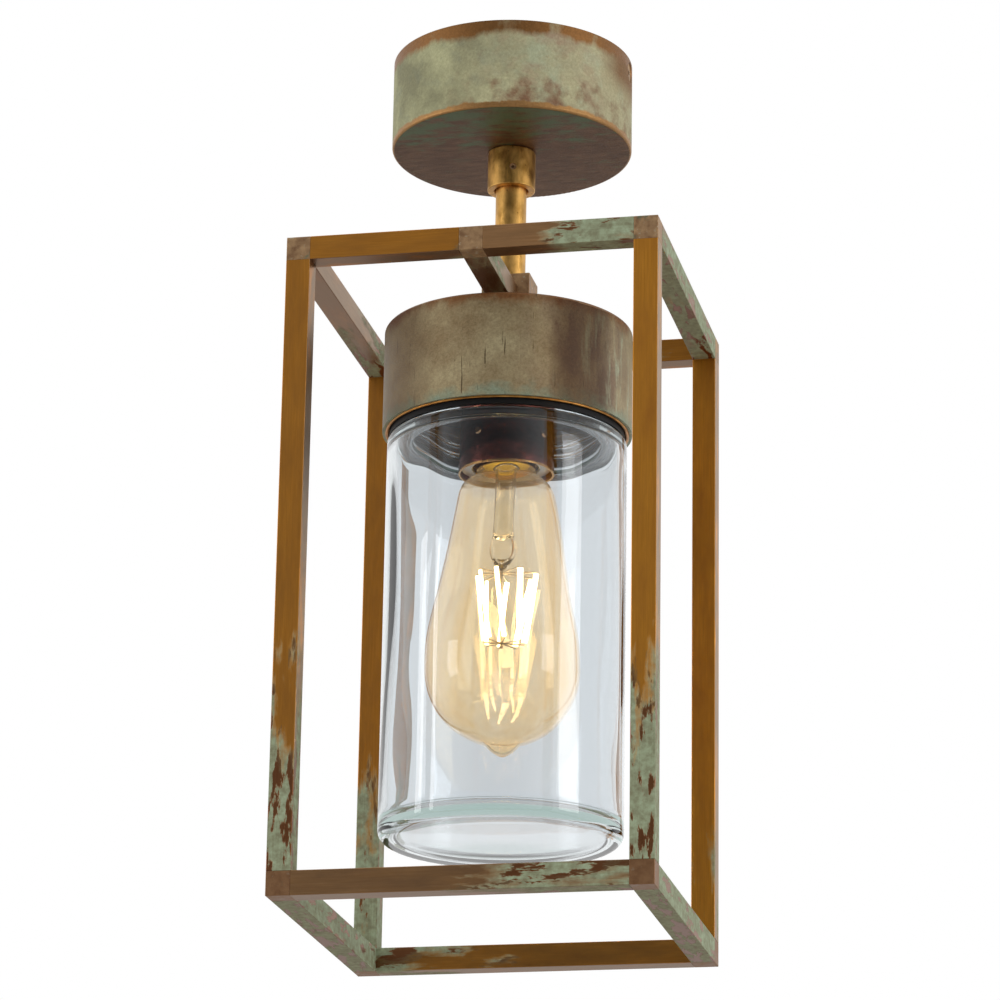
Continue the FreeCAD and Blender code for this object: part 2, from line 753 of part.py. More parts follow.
def connector(name, arms, **spot):
    """A frame cube about its own centre, with square spigots that fill the tubes' ends.

    An arm is the plane that it stands on, and whether it runs both ways or against the normal.
    """
    body = new_body(name)
    cube = new_sketch(body, "XY_Plane")
    draw_outline(cube, box_corners("tube_side", "tube_side"))
    block = pad(body, cube, "tube_side", both_ways=True)
    doc.recompute()
    rounding = body.newObject("PartDesign::Fillet", f"{name}_edges")
    rounding.Base = (block, [f"Edge{i + 1}" for i in range(len(block.Shape.Edges))])
    bind(rounding, Radius="tube_edge")
    for plane, both_ways, backwards in arms:
        sketch = new_sketch(body, plane)
        draw_outline(sketch, box_corners("spigot_side", "spigot_side"))
        reach = "tube_side + 2 * spigot_length" if both_ways else "tube_side / 2 + spigot_length"
        pad(body, sketch, reach, both_ways, backwards)
    return piece(name, place(body, **spot))


TO_Z = ("XY_Plane", False, False)
TO_X = ("YZ_Plane", False, False)
TO_Y = ("XZ_Plane", False, True)
BOTH_X = ("YZ_Plane", True, False)

CORNERS = {"front_left": ("-1", "-1", 0), "front_right": ("1", "-1", 90),
           "rear_right": ("1", "1", 180), "rear_left": ("-1", "1", 270)}
for corner, (x_sign, y_sign, yaw) in CORNERS.items():
    spot = {"x": f"{x_sign} * tube_axis", "y": f"{y_sign} * tube_axis"}
    connector(f"corner_bottom_{corner}", (TO_Z, TO_X, TO_Y), z="foot_axis", turn=(yaw, 0, 0), **spot)
    connector(f"corner_top_{corner}", (TO_Z, TO_X, TO_Y), z="top_axis", turn=(yaw + 90, 0, 180), **spot)
connector("tee_front", (BOTH_X, TO_Y), y="-tube_axis", z="top_axis")
connector("tee_rear", (BOTH_X, TO_Y), y="tube_axis", z="top_axis", turn=(180, 0, 0))

hub = new_body("centre_block")
hub_sketch = new_sketch(hub, "XY_Plane")
draw_outline(hub_sketch, box_corners("block_width", "block_depth", "tube_edge"))
pad(hub, hub_sketch, "block_top - housing_top")
hub_arms = new_sketch(hub, "XZ_Plane")
draw_outline(hub_arms, box_corners("spigot_side", "spigot_side", y="top_axis - housing_top"))
pad(hub, hub_arms, "block_depth + 2 * spigot_length", both_ways=True)
drill(hub, "XY_Plane", [("0", "0", "nipple_radius + seat_gap")])
drill(hub, "XY_Plane", [("0", "0", "stem_radius + seat_gap")], depth="stem_seat",
      lift="block_top - housing_top")
piece("centre_block", place(hub, z="housing_top"))

# ---------------------------------------------------------------- lamp housing

piece("housing_shell", turned("housing_shell", [
    ("nipple_radius + seat_gap", "housing_deck"),
    ("housing_inner", "housing_deck", "housing_edge / 2"),
    ("housing_inner", "housing_rim"),
    ("housing_radius", "housing_rim"),
    ("housing_radius", "housing_top", "housing_edge"),
    ("nipple_radius + seat_gap", "housing_top"),
]))
piece("housing_nipple", hollow("housing_nipple", "nipple_radius", "nipple_bore", "nipple_foot",
                               "housing_nipple_top"))
piece("housing_washer", hollow("housing_washer", "washer_radius", "nipple_radius + seat_gap",
                               "housing_deck - washer_thickness", "housing_deck"))
lantern_nuts = [
    locknut("housing_nut", "holder_top"),
    locknut("holder_nut", "holder_nut_foot"),
]
piece("lantern_locknuts", group("lantern_locknuts", *lantern_nuts))

ring = turned("thread_ring", [
    ("ring_bore", "ring_floor"),
    ("ring_outer - ring_lip_width", "ring_floor"),
    ("ring_outer - ring_lip_width", "ring_foot", "ring_lip_width / 3"),
    ("ring_outer", "ring_foot", "ring_lip_width / 3"),
    ("ring_outer", "ring_top"),
    ("ring_bore", "ring_top"),
])
helical_ridge(ring, "ring_bore + ridge_bury", "ring_bore - jar_thread_depth", "ring_thread_start",
              "jar_thread")
piece("thread_ring", ring)

# ---------------------------------------------------------------- jar and gasket

piece("jar_gasket", turned("jar_gasket", [
    ("gasket_bore", "gasket_foot"),
    ("gasket_outer", "gasket_foot"),
    ("gasket_outer", "gasket_top"),
    ("gasket_bore", "gasket_top"),
]))

jar = turned("glass_jar", [
    ("0", "jar_foot"),
    ("jar_radius", "jar_foot", "jar_corner"),
    ("jar_radius", "jar_shoulder", "jar_shoulder_corner"),
    ("jar_neck_radius", "jar_shoulder", "jar_neck_corner"),
    ("jar_neck_radius", "jar_neck_top", "jar_neck_wall / 3"),
    ("jar_neck_bore", "jar_neck_top", "jar_neck_wall / 3"),
    ("jar_neck_bore", "jar_shoulder - jar_wall", "jar_neck_corner"),
    ("jar_inner", "jar_shoulder - jar_wall", "jar_shoulder_corner"),
    ("jar_inner", "jar_foot + jar_floor", "jar_corner"),
    ("0", "jar_foot + jar_floor"),
])
helical_ridge(jar, "jar_neck_radius - ridge_bury", "jar_neck_radius + jar_thread_depth", "jar_thread_z",
              "jar_thread")
piece("glass_jar", jar)

# ---------------------------------------------------------------- lampholder

holder_turning = turned("holder_turning", [
    ("nipple_radius + seat_gap", "holder_top - holder_wall"),
    ("holder_inner", "holder_top - holder_wall", "holder_edge - holder_wall"),
    ("holder_inner", "holder_rim"),
    ("holder_radius", "holder_rim"),
    ("holder_radius", "holder_top", "holder_edge"),
    ("nipple_radius + seat_gap", "holder_top"),
])
RIVET_COUNT = 4
RIVET_TURNS = [f"rivet_angle + {360 // RIVET_COUNT * i}" for i in range(RIVET_COUNT)]


def rivet_cylinder(name, turn, radius, height, start):
    return cylinder(name, radius, height, z="rivet_z", **radial(start, turn))


rivet_holes = [
    rivet_cylinder(f"rivet_hole_{i}", turn, "rivet_radius + seat_gap", "holder_wall + 2 * overcut",
                   "holder_inner - overcut")
    for i, turn in enumerate(RIVET_TURNS)
]
piece("holder_cup", cut("holder_cup", holder_turning, *rivet_holes))


def rivet(i, turn):
    shank = rivet_cylinder(f"rivet_shank_{i}", turn, "rivet_radius",
                           "rivet_depth + holder_wall + rivet_head_height", "holder_inner - rivet_depth")
    head = cone(f"rivet_head_{i}", "rivet_head", "rivet_radius", "rivet_head_height", z="rivet_z",
                **radial("holder_radius + seat_gap", turn))
    return join(f"rivet_{i}", shank, head)


piece("holder_rivets", group("holder_rivets", *[rivet(i, turn) for i, turn in enumerate(RIVET_TURNS)]))

insulator_turning = turned("insulator_turning", [
    ("contact_stud + seat_gap", "insulator_roof"),
    ("socket_outer + seat_gap", "insulator_roof"),
    ("socket_outer + seat_gap", "insulator_foot"),
    ("insulator_radius", "insulator_foot", "insulator_edge"),
    ("insulator_radius", "insulator_top", "insulator_edge"),
    ("contact_stud + seat_gap", "insulator_top"),
])
rivet_sockets = [
    rivet_cylinder(f"rivet_socket_{i}", turn, "rivet_radius + seat_gap", "rivet_depth + 2 * overcut",
                   "holder_inner - rivet_depth - seat_gap")
    for i, turn in enumerate(RIVET_TURNS)
]
piece("holder_insulator", cut("holder_insulator", insulator_turning, *rivet_sockets))

socket = turned("holder_screw_shell", [
    ("socket_radius", "socket_foot"),
    ("socket_outer", "socket_foot"),
    ("socket_outer", "socket_top"),
    ("socket_radius", "socket_top"),
])
helical_ridge(socket, "socket_radius + socket_wall / 2", "socket_radius - lamp_thread_depth",
              "socket_thread_start", "lamp_thread")
piece("holder_screw_shell", socket)

piece("holder_contact", turned("holder_contact", [
    ("0", "contact_foot"),
    ("contact_radius", "contact_foot"),
    ("contact_radius", "contact_foot + contact_thickness"),
    ("contact_stud", "contact_foot + contact_thickness"),
    ("contact_stud", "insulator_top + contact_stud_proud"),
    ("0", "insulator_top + contact_stud_proud"),
]))


def holder_core(side):
    """A core from the sheath's foot down to its terminal on the insulator."""
    top, foot = value("sheath_foot"), value("insulator_top")
    return wire_run([
        (0, side * half_pitch, top),
        (0, side * half_pitch, top + FAN_START * (foot - top)),
        (0, side * 3 * half_pitch, top + FAN_END * (foot - top)),
        (0, side * 3 * half_pitch, foot),
    ], core_radius)


piece("holder_cores", group("holder_cores", *[
    shaped(f"holder_core_{i}", holder_core(side)) for i, side in enumerate((1, -1))]))

# ---------------------------------------------------------------- filament lamp


# the flank between neck and equator, as shares of the lamp's radius and of its crown depth
FLANK_SHARES = [(0.56, 0.087), (0.63, 0.18), (0.825, 0.58), (0.975, 0.845)]
UP, INWARDS = FreeCAD.Vector(0, 0, 1), FreeCAD.Vector(-1, 0, 0)


def lamp_skin(wall):
    """Half the lamp's outline, a wall's thickness inside the glass, from the neck to the axis."""
    collar, equator, tip = value("lamp_collar"), value("lamp_equator"), value("lamp_tip")
    neck, full_radius, depth = value("lamp_neck_radius"), value("lamp_radius"), value("lamp_crown")
    radius = full_radius - wall
    neck_top = FreeCAD.Vector(neck - wall, 0, value("lamp_collar + lamp_neck_reach"))
    neck_end = FreeCAD.Vector(neck - wall, 0, value("lamp_collar + lamp_neck_straight"))
    flank = Part.BSplineCurve()
    flank.interpolate(
        [neck_end]
        + [FreeCAD.Vector(share * full_radius - wall, 0, collar - down * depth)
           for share, down in FLANK_SHARES]
        + [FreeCAD.Vector(radius, 0, equator)],
        InitialTangent=-UP, FinalTangent=-UP)
    edges = [Part.LineSegment(neck_top, neck_end), flank]

    def crown_point(angle):
        return FreeCAD.Vector(radius * math.cos(angle), 0, equator - radius * math.sin(angle))

    crown_end = math.pi / 2 if wall else math.radians(value("lamp_pip_angle"))
    edges.append(Part.Arc(crown_point(0), crown_point(crown_end / 2), crown_point(crown_end)))
    if wall:
        return edges
    pip = Part.BSplineCurve()
    leaving = FreeCAD.Vector(-math.sin(crown_end), 0, -math.cos(crown_end))
    pip_side = FreeCAD.Vector(value("lamp_pip_radius"), 0, tip + value("lamp_pip_height"))
    pip.interpolate([crown_point(crown_end), pip_side, FreeCAD.Vector(0, 0, tip)],
                    InitialTangent=leaving, FinalTangent=INWARDS)
    return edges + [pip]


outer_skin, inner_skin = lamp_skin(0), lamp_skin(value("lamp_wall"))
loop = [curve.toShape() for curve in outer_skin + inner_skin]
loop.append(Part.LineSegment(outer_skin[0].StartPoint, inner_skin[0].StartPoint).toShape())
loop.append(Part.LineSegment(outer_skin[-1].EndPoint, inner_skin[-1].EndPoint).toShape())
profile = Part.Face(Part.Wire(Part.__sortEdges__(loop)))
piece("lamp_envelope", shaped("lamp_envelope", profile.revolve(FreeCAD.Vector(), UP, 360)))

cap = turned("lamp_cap_shell", [
    ("lamp_cap_radius - lamp_cap_wall", "lamp_collar"),
    ("lamp_cap_radius", "lamp_collar"),
    ("lamp_cap_radius", "lamp_cap_top"),
    ("lamp_cap_radius - lamp_cap_wall", "lamp_cap_top"),
])
helical_ridge(cap, "lamp_cap_radius - lamp_cap_wall / 2", "lamp_cap_radius + lamp_thread_depth",
              "lamp_thread_z", "lamp_thread")
piece("lamp_cap_shell", cap)
piece("lamp_cap_insulator", turned("lamp_cap_insulator", [
    ("0", "lamp_cap_top"),
    ("lamp_cap_radius", "lamp_cap_top"),
    ("lamp_contact_radius + part_gap", "lamp_contact_foot"),
    ("0", "lamp_contact_foot"),
]))
piece("lamp_contact", turned("lamp_contact", [
    ("0", "lamp_contact_foot"),
    ("lamp_contact_radius", "lamp_contact_foot"),
    ("lamp_contact_radius", "lamp_contact_top", "lamp_contact_height / 2"),
    ("0", "lamp_contact_top"),
]))
piece("lamp_stem", turned("lamp_stem", [
    ("0", "lamp_cap_top - part_gap"),
    ("0", "lamp_stem_foot"),
    ("lamp_stem_tip", "lamp_stem_foot", "lamp_stem_tip / 3"),
    ("lamp_stem_radius", "lamp_stem_foot + lamp_stem_taper", "lamp_stem_round"),
    ("lamp_stem_radius", "lamp_collar", "lamp_stem_round"),
    ("lamp_neck_radius - lamp_wall - part_gap", "lamp_collar + lamp_stem_flare", "lamp_stem_tip"),
    ("lamp_neck_radius - lamp_wall - part_gap", "lamp_cap_top - part_gap"),
]))


def on_cage(spread, height, index=0, twist="0"):
    """A point of the filament cage, at a spread from Z; spread 0 is the middle wire."""
    angle = 2 * math.pi * index / DRIVING["filament_count"] + math.radians(value(twist))
    return FreeCAD.Vector(math.cos(angle), math.sin(angle), 0) * value(spread) + UP * value(height)


def rod(start, finish, radius):
    way = finish - start
    return Part.makeCylinder(value(radius), way.Length, start, way)


# each level of arms: its spread, its height and how far it is twisted round
ARM_LEVELS = [("filament_top_spread", "lamp_stem_foot - support_inset", "0"),
              ("filament_foot_spread", "filament_foot - support_inset", "filament_twist")]
filaments = []
arms = [rod(on_cage("0", "lamp_stem_foot"), on_cage("0", "filament_foot - support_tail"),
            "support_radius")]
for i in range(DRIVING["filament_count"]):
    top = on_cage("filament_top_spread", "lamp_stem_foot - support_inset - 2 * support_arm_radius", i)
    foot = on_cage("filament_foot_spread", "filament_foot", i, "filament_twist")
    filaments.append(shaped(f"filament_{i}", rod(top, foot, "filament_radius")))
    for spread, level, twist in ARM_LEVELS:
        arms.append(rod(on_cage("0", level), on_cage(spread, level, i, twist), "support_arm_radius"))
piece("lamp_filaments", group("lamp_filaments", *filaments))
piece("lamp_supports", shaped("lamp_supports", arms[0].multiFuse(arms[1:]).removeSplitter()))

# ---------------------------------------------------------------- check and export

doc.recompute()
for thing in doc.Objects:
    if {"Invalid", "Error"} & set(thing.State):
        raise RuntimeError(f"{thing.Label} did not build: {thing.State}")
for name, thing in PIECES.items():
    shape = thing.Shape
    if shape.isNull() or not shape.isValid() or not shape.Solids:
        raise RuntimeError(f"{name} has no valid solid")
    shape.exportStep(f"parts/{name}.step")
    print(f"{name}: {len(shape.Solids)} solids, {shape.Volume:.1f} mm3")
print(len(PIECES), "pieces")
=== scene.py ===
import math

import bmesh
import bpy
from mathutils import Matrix, Vector, geometry, noise


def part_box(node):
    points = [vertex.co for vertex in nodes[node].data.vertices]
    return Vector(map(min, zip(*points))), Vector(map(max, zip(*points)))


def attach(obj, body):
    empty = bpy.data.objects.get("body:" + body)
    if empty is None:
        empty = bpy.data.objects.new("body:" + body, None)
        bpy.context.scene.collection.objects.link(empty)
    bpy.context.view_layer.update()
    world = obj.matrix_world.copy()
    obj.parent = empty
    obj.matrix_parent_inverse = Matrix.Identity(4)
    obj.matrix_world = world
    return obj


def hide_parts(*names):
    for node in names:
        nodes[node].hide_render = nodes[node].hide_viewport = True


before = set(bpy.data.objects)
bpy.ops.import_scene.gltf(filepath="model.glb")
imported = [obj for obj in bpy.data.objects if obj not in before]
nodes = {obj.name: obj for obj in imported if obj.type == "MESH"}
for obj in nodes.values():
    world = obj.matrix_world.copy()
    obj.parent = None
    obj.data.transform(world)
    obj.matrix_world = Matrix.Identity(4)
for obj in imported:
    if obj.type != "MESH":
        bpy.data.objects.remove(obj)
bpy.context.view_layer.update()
scene = bpy.context.scene
scene.view_settings.view_transform = "Standard"

# ---- The photograph's view ----
# A long lens, from in front and a little to the right, well below the lantern and
# tilted up at it. The camera was rolled by a degree.
MM = 0.001
VIEW_FROM = Vector((360.0, -1682.1, -754.4)) * MM
VIEW_TURN, VIEW_RISE, VIEW_ROLL = (math.radians(angle) for angle in (12.165, 18.028, 0.98))
LENS, SENSOR = 156.84, 36.0

camera = bpy.data.objects.new("camera", bpy.data.cameras.new("camera"))
camera.data.sensor_width, camera.data.lens = SENSOR, LENS
camera.matrix_world = (
    Matrix.Translation(VIEW_FROM)
    @ Matrix.Rotation(VIEW_TURN, 4, "Z")
    @ Matrix.Rotation(math.pi / 2 + VIEW_RISE, 4, "X")
    @ Matrix.Rotation(VIEW_ROLL, 4, "Z")
)
scene.collection.objects.link(camera)
scene.camera = camera


# ---- The studio ----
# A white surround, two large softboxes in front, one to each side, and a pale floor as
# far below the canopy as a porch's floor is. In reflections the surround darkens towards
# the camera and at two black flags, which draw the dark edges in the glass and the metal.
def linear(hex_colour):
    """An sRGB hex colour as the linear values that shaders take."""
    parts = [int(hex_colour[i:i + 2], 16) / 255 for i in (1, 3, 5)]
    return [p / 12.92 if p <= 0.04045 else ((p + 0.055) / 1.055) ** 2.4 for p in parts] + [1.0]


def add_node(tree, kind, values=None, links=None, **settings):
    """A shader node: settings are its own options, values and links go to its inputs."""
    node = tree.nodes.new(kind)
    for option, setting in settings.items():
        setattr(node, option, setting)
    for socket, number in (values or {}).items():
        node.inputs[socket].default_value = number
    for socket, source in (links or {}).items():
        tree.links.new(source, node.inputs[socket])
    return node


SURROUND_WHITE = linear("#ffffff")
SURROUND_FILL = linear("#cccdce")
SURROUND_DARK = linear("#545558")
# how far towards the camera a direction looks where the surround is darkest, and where white
DARK_DEPTH, WHITE_DEPTH = -0.97, -0.55
# directions in which black flags stand, each with how dark it makes its reflection, and
# how nearly a reflection must look that way at a flag's soft edge and at its middle
FLAGS = {"right": ((0.96, 0.24, -0.12), 0.3), "left": ((-0.79, 0.6, -0.1), 0.3)}
FLAG_EDGE, FLAG_MIDDLE = 0.9, 0.985

surround = bpy.data.worlds.new("surround")
surround.use_nodes = True
tree = surround.node_tree
tree.nodes.clear()
rays = add_node(tree, "ShaderNodeLightPath")
seen = add_node(tree, "ShaderNodeMath", operation="MAXIMUM", links={
    0: rays.outputs["Is Camera Ray"], 1: rays.outputs["Is Transmission Ray"]})
way = add_node(tree, "ShaderNodeTexCoord").outputs["Generated"]
depth = add_node(tree, "ShaderNodeSeparateXYZ", links={0: way}).outputs["Y"]
lit = add_node(tree, "ShaderNodeMapRange", {"From Min": DARK_DEPTH, "From Max": WHITE_DEPTH},
               {"Value": depth}).outputs[0]
for flag_way, darkness in FLAGS.values():
    near = add_node(tree, "ShaderNodeVectorMath", {1: Vector(flag_way).normalized()}, {0: way},
                    operation="DOT_PRODUCT")
    kept = add_node(tree, "ShaderNodeMapRange", {
        "From Min": FLAG_EDGE, "From Max": FLAG_MIDDLE, "To Min": 1.0, "To Max": 1 - darkness,
    }, {"Value": near.outputs["Value"]})
    lit = add_node(tree, "ShaderNodeMath", links={0: lit, 1: kept.outputs[0]},
                   operation="MULTIPLY").outputs[0]
mirrored = add_node(tree, "ShaderNodeMixRGB", {"Color1": SURROUND_DARK, "Color2": SURROUND_WHITE},
                    {"Fac": lit})
plain = add_node(tree, "ShaderNodeMixRGB", {"Color1": SURROUND_FILL, "Color2": SURROUND_WHITE},
                 {"Fac": seen.outputs[0]})
shade = add_node(tree, "ShaderNodeMixRGB", links={
    "Fac": rays.outputs["Is Glossy Ray"],
    "Color1": plain.outputs["Color"],
    "Color2": mirrored.outputs["Color"],
})
sky = add_node(tree, "ShaderNodeBackground", {"Strength": 1.0}, {"Color": shade.outputs["Color"]})
add_node(tree, "ShaderNodeOutputWorld", links={"Surface": sky.outputs[0]})
scene.world = surround

SOFTBOX_SIZE = (700 * MM, 1000 * MM)
SOFTBOXES = {"softbox_left": ((-1650.0, -830.0, -150.0), 7.5),
             "softbox_right": ((1780.0, -420.0, -50.0), 7.0)}
LIT_POINT = Vector((0, 0, -200.0)) * MM
for name, (place, power) in SOFTBOXES.items():
    lamp = bpy.data.objects.new(name, bpy.data.lights.new(name, "AREA"))
    lamp.data.shape = "RECTANGLE"
    lamp.data.size, lamp.data.size_y = SOFTBOX_SIZE
    lamp.data.energy = power
    lamp.location = Vector(place) * MM
    lamp.rotation_euler = (LIT_POINT - lamp.location).to_track_quat("-Z", "Y").to_euler()
    scene.collection.objects.link(lamp)

FLOOR_DROP, FLOOR_HALF = 2400 * MM, 6000 * MM
shape = bmesh.new()
bmesh.ops.create_grid(shape, x_segments=1, y_segments=1, size=FLOOR_HALF)
bmesh.ops.translate(shape, verts=shape.verts, vec=(0, 0, -FLOOR_DROP))
floor = bpy.data.objects.new("studio_floor", bpy.data.meshes.new("studio_floor"))
shape.to_mesh(floor.data)
shape.free()
scene.collection.objects.link(floor)
floor_paint = bpy.data.materials.new("studio_floor_paint")
floor_paint.use_nodes = True
paint = floor_paint.node_tree.nodes["Principled BSDF"]
paint.inputs["Base Color"].default_value = linear("#f1f1f0")
paint.inputs["Roughness"].default_value = 0.9
floor.data.materials.append(floor_paint)


# ---- The canopy ----
# A cup of spun brass that was left to weather, then sealed: a powdery sage-green bloom
# lies over its side, the top edge and the rolled lower rim stay brown, and its underside
# is a dark plum brown with a few green smears from the cloth.
def bare_material(name):
    """A material with only its Principled shader, and where a point lies on the piece."""
    material = bpy.data.materials.new(name)
    material.use_nodes = True
    shader = material.node_tree.nodes["Principled BSDF"]
    place = add_node(material.node_tree, "ShaderNodeTexCoord")
    return material, material.node_tree, shader, place


def patches(tree, place, size, start, full, push=None, draw=(1, 1, 1), shift=0.0, turn=0.0, rough=0.62):
    """A mask of ragged patches about `size` millimetres wide, from 0 at start to 1 at full.

    push makes more of them where it is high, a draw under 1 stretches them along that
    axis, and each shift gives other patches."""
    spot = add_node(tree, "ShaderNodeMapping", {
        "Location": (shift, 0.7 * shift, 1.3 * shift), "Rotation": (0, 0, turn), "Scale": draw,
    }, {"Vector": place.outputs["Object"]})
    spread = add_node(tree, "ShaderNodeTexNoise", {"Scale": 1000 / size, "Detail": 8, "Roughness": rough},
                      {"Vector": spot.outputs[0]})
    level = spread.outputs["Fac"]
    if push:
        level = add_node(tree, "ShaderNodeMath", links={0: level, 1: push}, operation="ADD").outputs[0]
    return add_node(tree, "ShaderNodeMapRange", {"From Min": start, "From Max": full},
                    {"Value": level}).outputs[0]


def along(tree, place, axis, start, full, low=0.0, high=1.0, source="Object"):
    """A value that runs from low to high between two heights, in millimetres, on one axis.

    On the source "Normal" it goes by the way that the face looks, from -1 to 1."""
    unit = MM if source == "Object" else 1
    parts = add_node(tree, "ShaderNodeSeparateXYZ", links={0: place.outputs[source]})
    return add_node(tree, "ShaderNodeMapRange",
                    {"From Min": start * unit, "From Max": full * unit, "To Min": low, "To Max": high},
                    {"Value": parts.outputs[axis]}).outputs[0]


def overlap(tree, *masks):
    """The mask of where all these masks are at once."""
    mask = masks[0]
    for other in masks[1:]:
        mask = add_node(tree, "ShaderNodeMath", links={0: mask, 1: other}, operation="MULTIPLY").outputs[0]
    return mask


def washed(tree, ground, colour, *masks):
    """A colour over the ground where all the masks are; the ground is a hex value or an output."""
    values, links = {"Color2": linear(colour)}, {"Fac": overlap(tree, *masks)}
    if isinstance(ground, str):
        values["Color1"] = linear(ground)
    else:
        links["Color1"] = ground
    return add_node(tree, "ShaderNodeMixRGB", values, links).outputs["Color"]


def shaded(tree, colour, shade):
    """A colour, darkened by another one."""
    return add_node(tree, "ShaderNodeMixRGB", {"Fac": 1.0}, {"Color1": colour, "Color2": shade},
                    blend_type="MULTIPLY").outputs["Color"]


def vary(tree, shader, socket, mask, low, high):
    """Lets a value of the shader run from low to high with a mask."""
    run = add_node(tree, "ShaderNodeMapRange", {"To Min": low, "To Max": high}, {"Value": mask})
    tree.links.new(run.outputs[0], shader.inputs[socket])


def relief(tree, shader, heights, depth):
    """Bumps of a depth in millimetres, from a height that runs from 0 to 1."""
    bump = add_node(tree, "ShaderNodeBump", {"Strength": 1.0, "Distance": depth * MM}, {"Height": heights})
    tree.links.new(bump.outputs[0], shader.inputs["Normal"])


def two_toned(name, dark, pale, size, sockets, draw=(1, 1, 1)):
    """A material that clouds between two close tones, with its shader's other values."""
    material, tree, shader, place = bare_material(name)
    tree.links.new(washed(tree, dark, pale, patches(tree, place, size, 0.3, 0.7, draw=draw)),
                   shader.inputs["Base Color"])
    for socket, value in sockets.items():
        shader.inputs[socket].default_value = value
    return material, tree, shader, place


def dress(material, *names):
    """Gives CAD nodes a material in place of the plain one that they come with."""
    for name in names:
        for slot in nodes[name].material_slots:
            slot.material = material


# verdigris on spun brass: a salt, so it is matt and not a metal, over satin oxide
material, tree, shader, place = bare_material("verdigris_spun_brass")
canopy_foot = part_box("canopy_cup")[0].z / MM
cloudy = patches(tree, place, 22, 0.36, 0.66)
powder = patches(tree, place, 1.1, 0.36, 0.64, shift=0.3, rough=0.75)
colour = washed(tree, "#949170", "#c6c498", cloudy)
colour = washed(tree, colour, "#8c8f78", patches(tree, place, 9, 0.5, 0.8, shift=0.9))
colour = washed(tree, colour, "#a9bd9f", patches(tree, place, 15, 0.5, 0.66, shift=0.51),
                along(tree, place, "X", -10, 30))
# painted light: the side is washed paler and warmer towards the right, where the light falls
colour = washed(tree, colour, "#d8cca4", along(tree, place, "X", -22, 40, 0.0, 0.55))
worn = patches(tree, place, 13, 0.47, 0.72, draw=(1, 1, 1.5), shift=3.6)
colour = washed(tree, colour, "#b3977c", worn, along(tree, place, "X", -5, 16),
                along(tree, place, "X", 49, 36))
flakes = patches(tree, place, 10, 0.5, 0.72, along(tree, place, "Z", -14, -36, -0.1, 0.07), shift=1.7)
colour = washed(tree, colour, "#8f6c50", flakes, along(tree, place, "X", -22, 5))
colour = washed(tree, colour, "#8f6c48", along(tree, place, "X", 43, 49), along(tree, place, "Z", -24, -12))
top_band = patches(tree, place, 12, 0.42, 0.68, along(tree, place, "Z", -10, -3.5, -0.32, 0.24),
                   draw=(1, 1, 0.4), shift=2.2)
colour = washed(tree, colour, "#8c6238", top_band)
# the underside and the rolled rim
under = along(tree, place, "Z", -0.55, -0.8, source="Normal")
plum = patches(tree, place, 7, 0.3, 0.7, draw=(1, 3.2, 1), shift=0.2, turn=0.9)
plate = washed(tree, "#58391f", "#7d5a3c", plum)
smears = patches(tree, place, 13, 0.44, 0.6, along(tree, place, "Y", 4, -44, -0.14, 0.1),
                 draw=(1, 2.4, 1), shift=0.8, turn=-0.5)
plate = washed(tree, plate, "#5d6b48", smears)
colour_mix = add_node(tree, "ShaderNodeMixRGB", links={"Fac": under, "Color1": colour, "Color2": plate})
rim = patches(tree, place, 6, 0.42, 0.6,
              along(tree, place, "Z", canopy_foot + 4, canopy_foot + 0.8, -0.34, 0.4), shift=5.1)
rim = overlap(tree, rim, along(tree, place, "Z", -0.97, -0.9, source="Normal"))
colour = washed(tree, colour_mix.outputs["Color"], "#aa8050", rim)
colour = shaded(tree, colour, washed(tree, "#e0dfdc", "#ffffff", powder))
tree.links.new(colour, shader.inputs["Base Color"])
bare = add_node(tree, "ShaderNodeMath", links={0: top_band, 1: under}, operation="MAXIMUM").outputs[0]
bare = add_node(tree, "ShaderNodeMath", links={0: bare, 1: rim}, operation="MAXIMUM").outputs[0]
bare = overlap(tree, bare, along(tree, place, "Z", -0.55, -0.8, 1.0, 0.65, source="Normal"))
vary(tree, shader, "Metallic", bare, 0.05, 0.85)
vary(tree, shader, "Roughness", bare, 0.72, 0.42)
shader.inputs["Specular IOR Level"].default_value = 0.3
relief(tree, shader, powder, 0.05)
dress(material, "canopy_cup")

# zinc-plated steel, soft grey with a fine rolled grain: the bracket, nuts and washers
material, tree, shader, place = two_toned("zinc_plated_steel", "#8e9194", "#b7babd", 5,
                                          {"Metallic": 1.0, "Roughness": 0.38}, draw=(1, 8, 8))
relief(tree, shader, patches(tree, place, 1.5, 0.3, 0.7), 0.01)
dress(material, "ceiling_bracket", "terminal_screws", "canopy_nipple", "canopy_washer",
      "canopy_locknut", "housing_nipple", "housing_washer", "lantern_locknuts")

# ---- The wiring in the canopy ----
# A terminal block of white nylon, and PVC cores that run from it into the sheath of the
# lantern's flex. Blue, brown and striped earth cores are drawn as one dark brown.
dress(two_toned("moulded_white_nylon", "#ddd9cd", "#ebe8df", 4, {"Roughness": 0.45})[0], "terminal_block")
dress(two_toned("core_pvc", "#5a3a22", "#6d4a2e", 3, {"Roughness": 0.4})[0], "supply_cores", "holder_cores")
dress(two_toned("sheath_pvc", "#1d1d1d", "#2b2b2b", 3, {"Roughness": 0.5})[0], "flex_sheath")

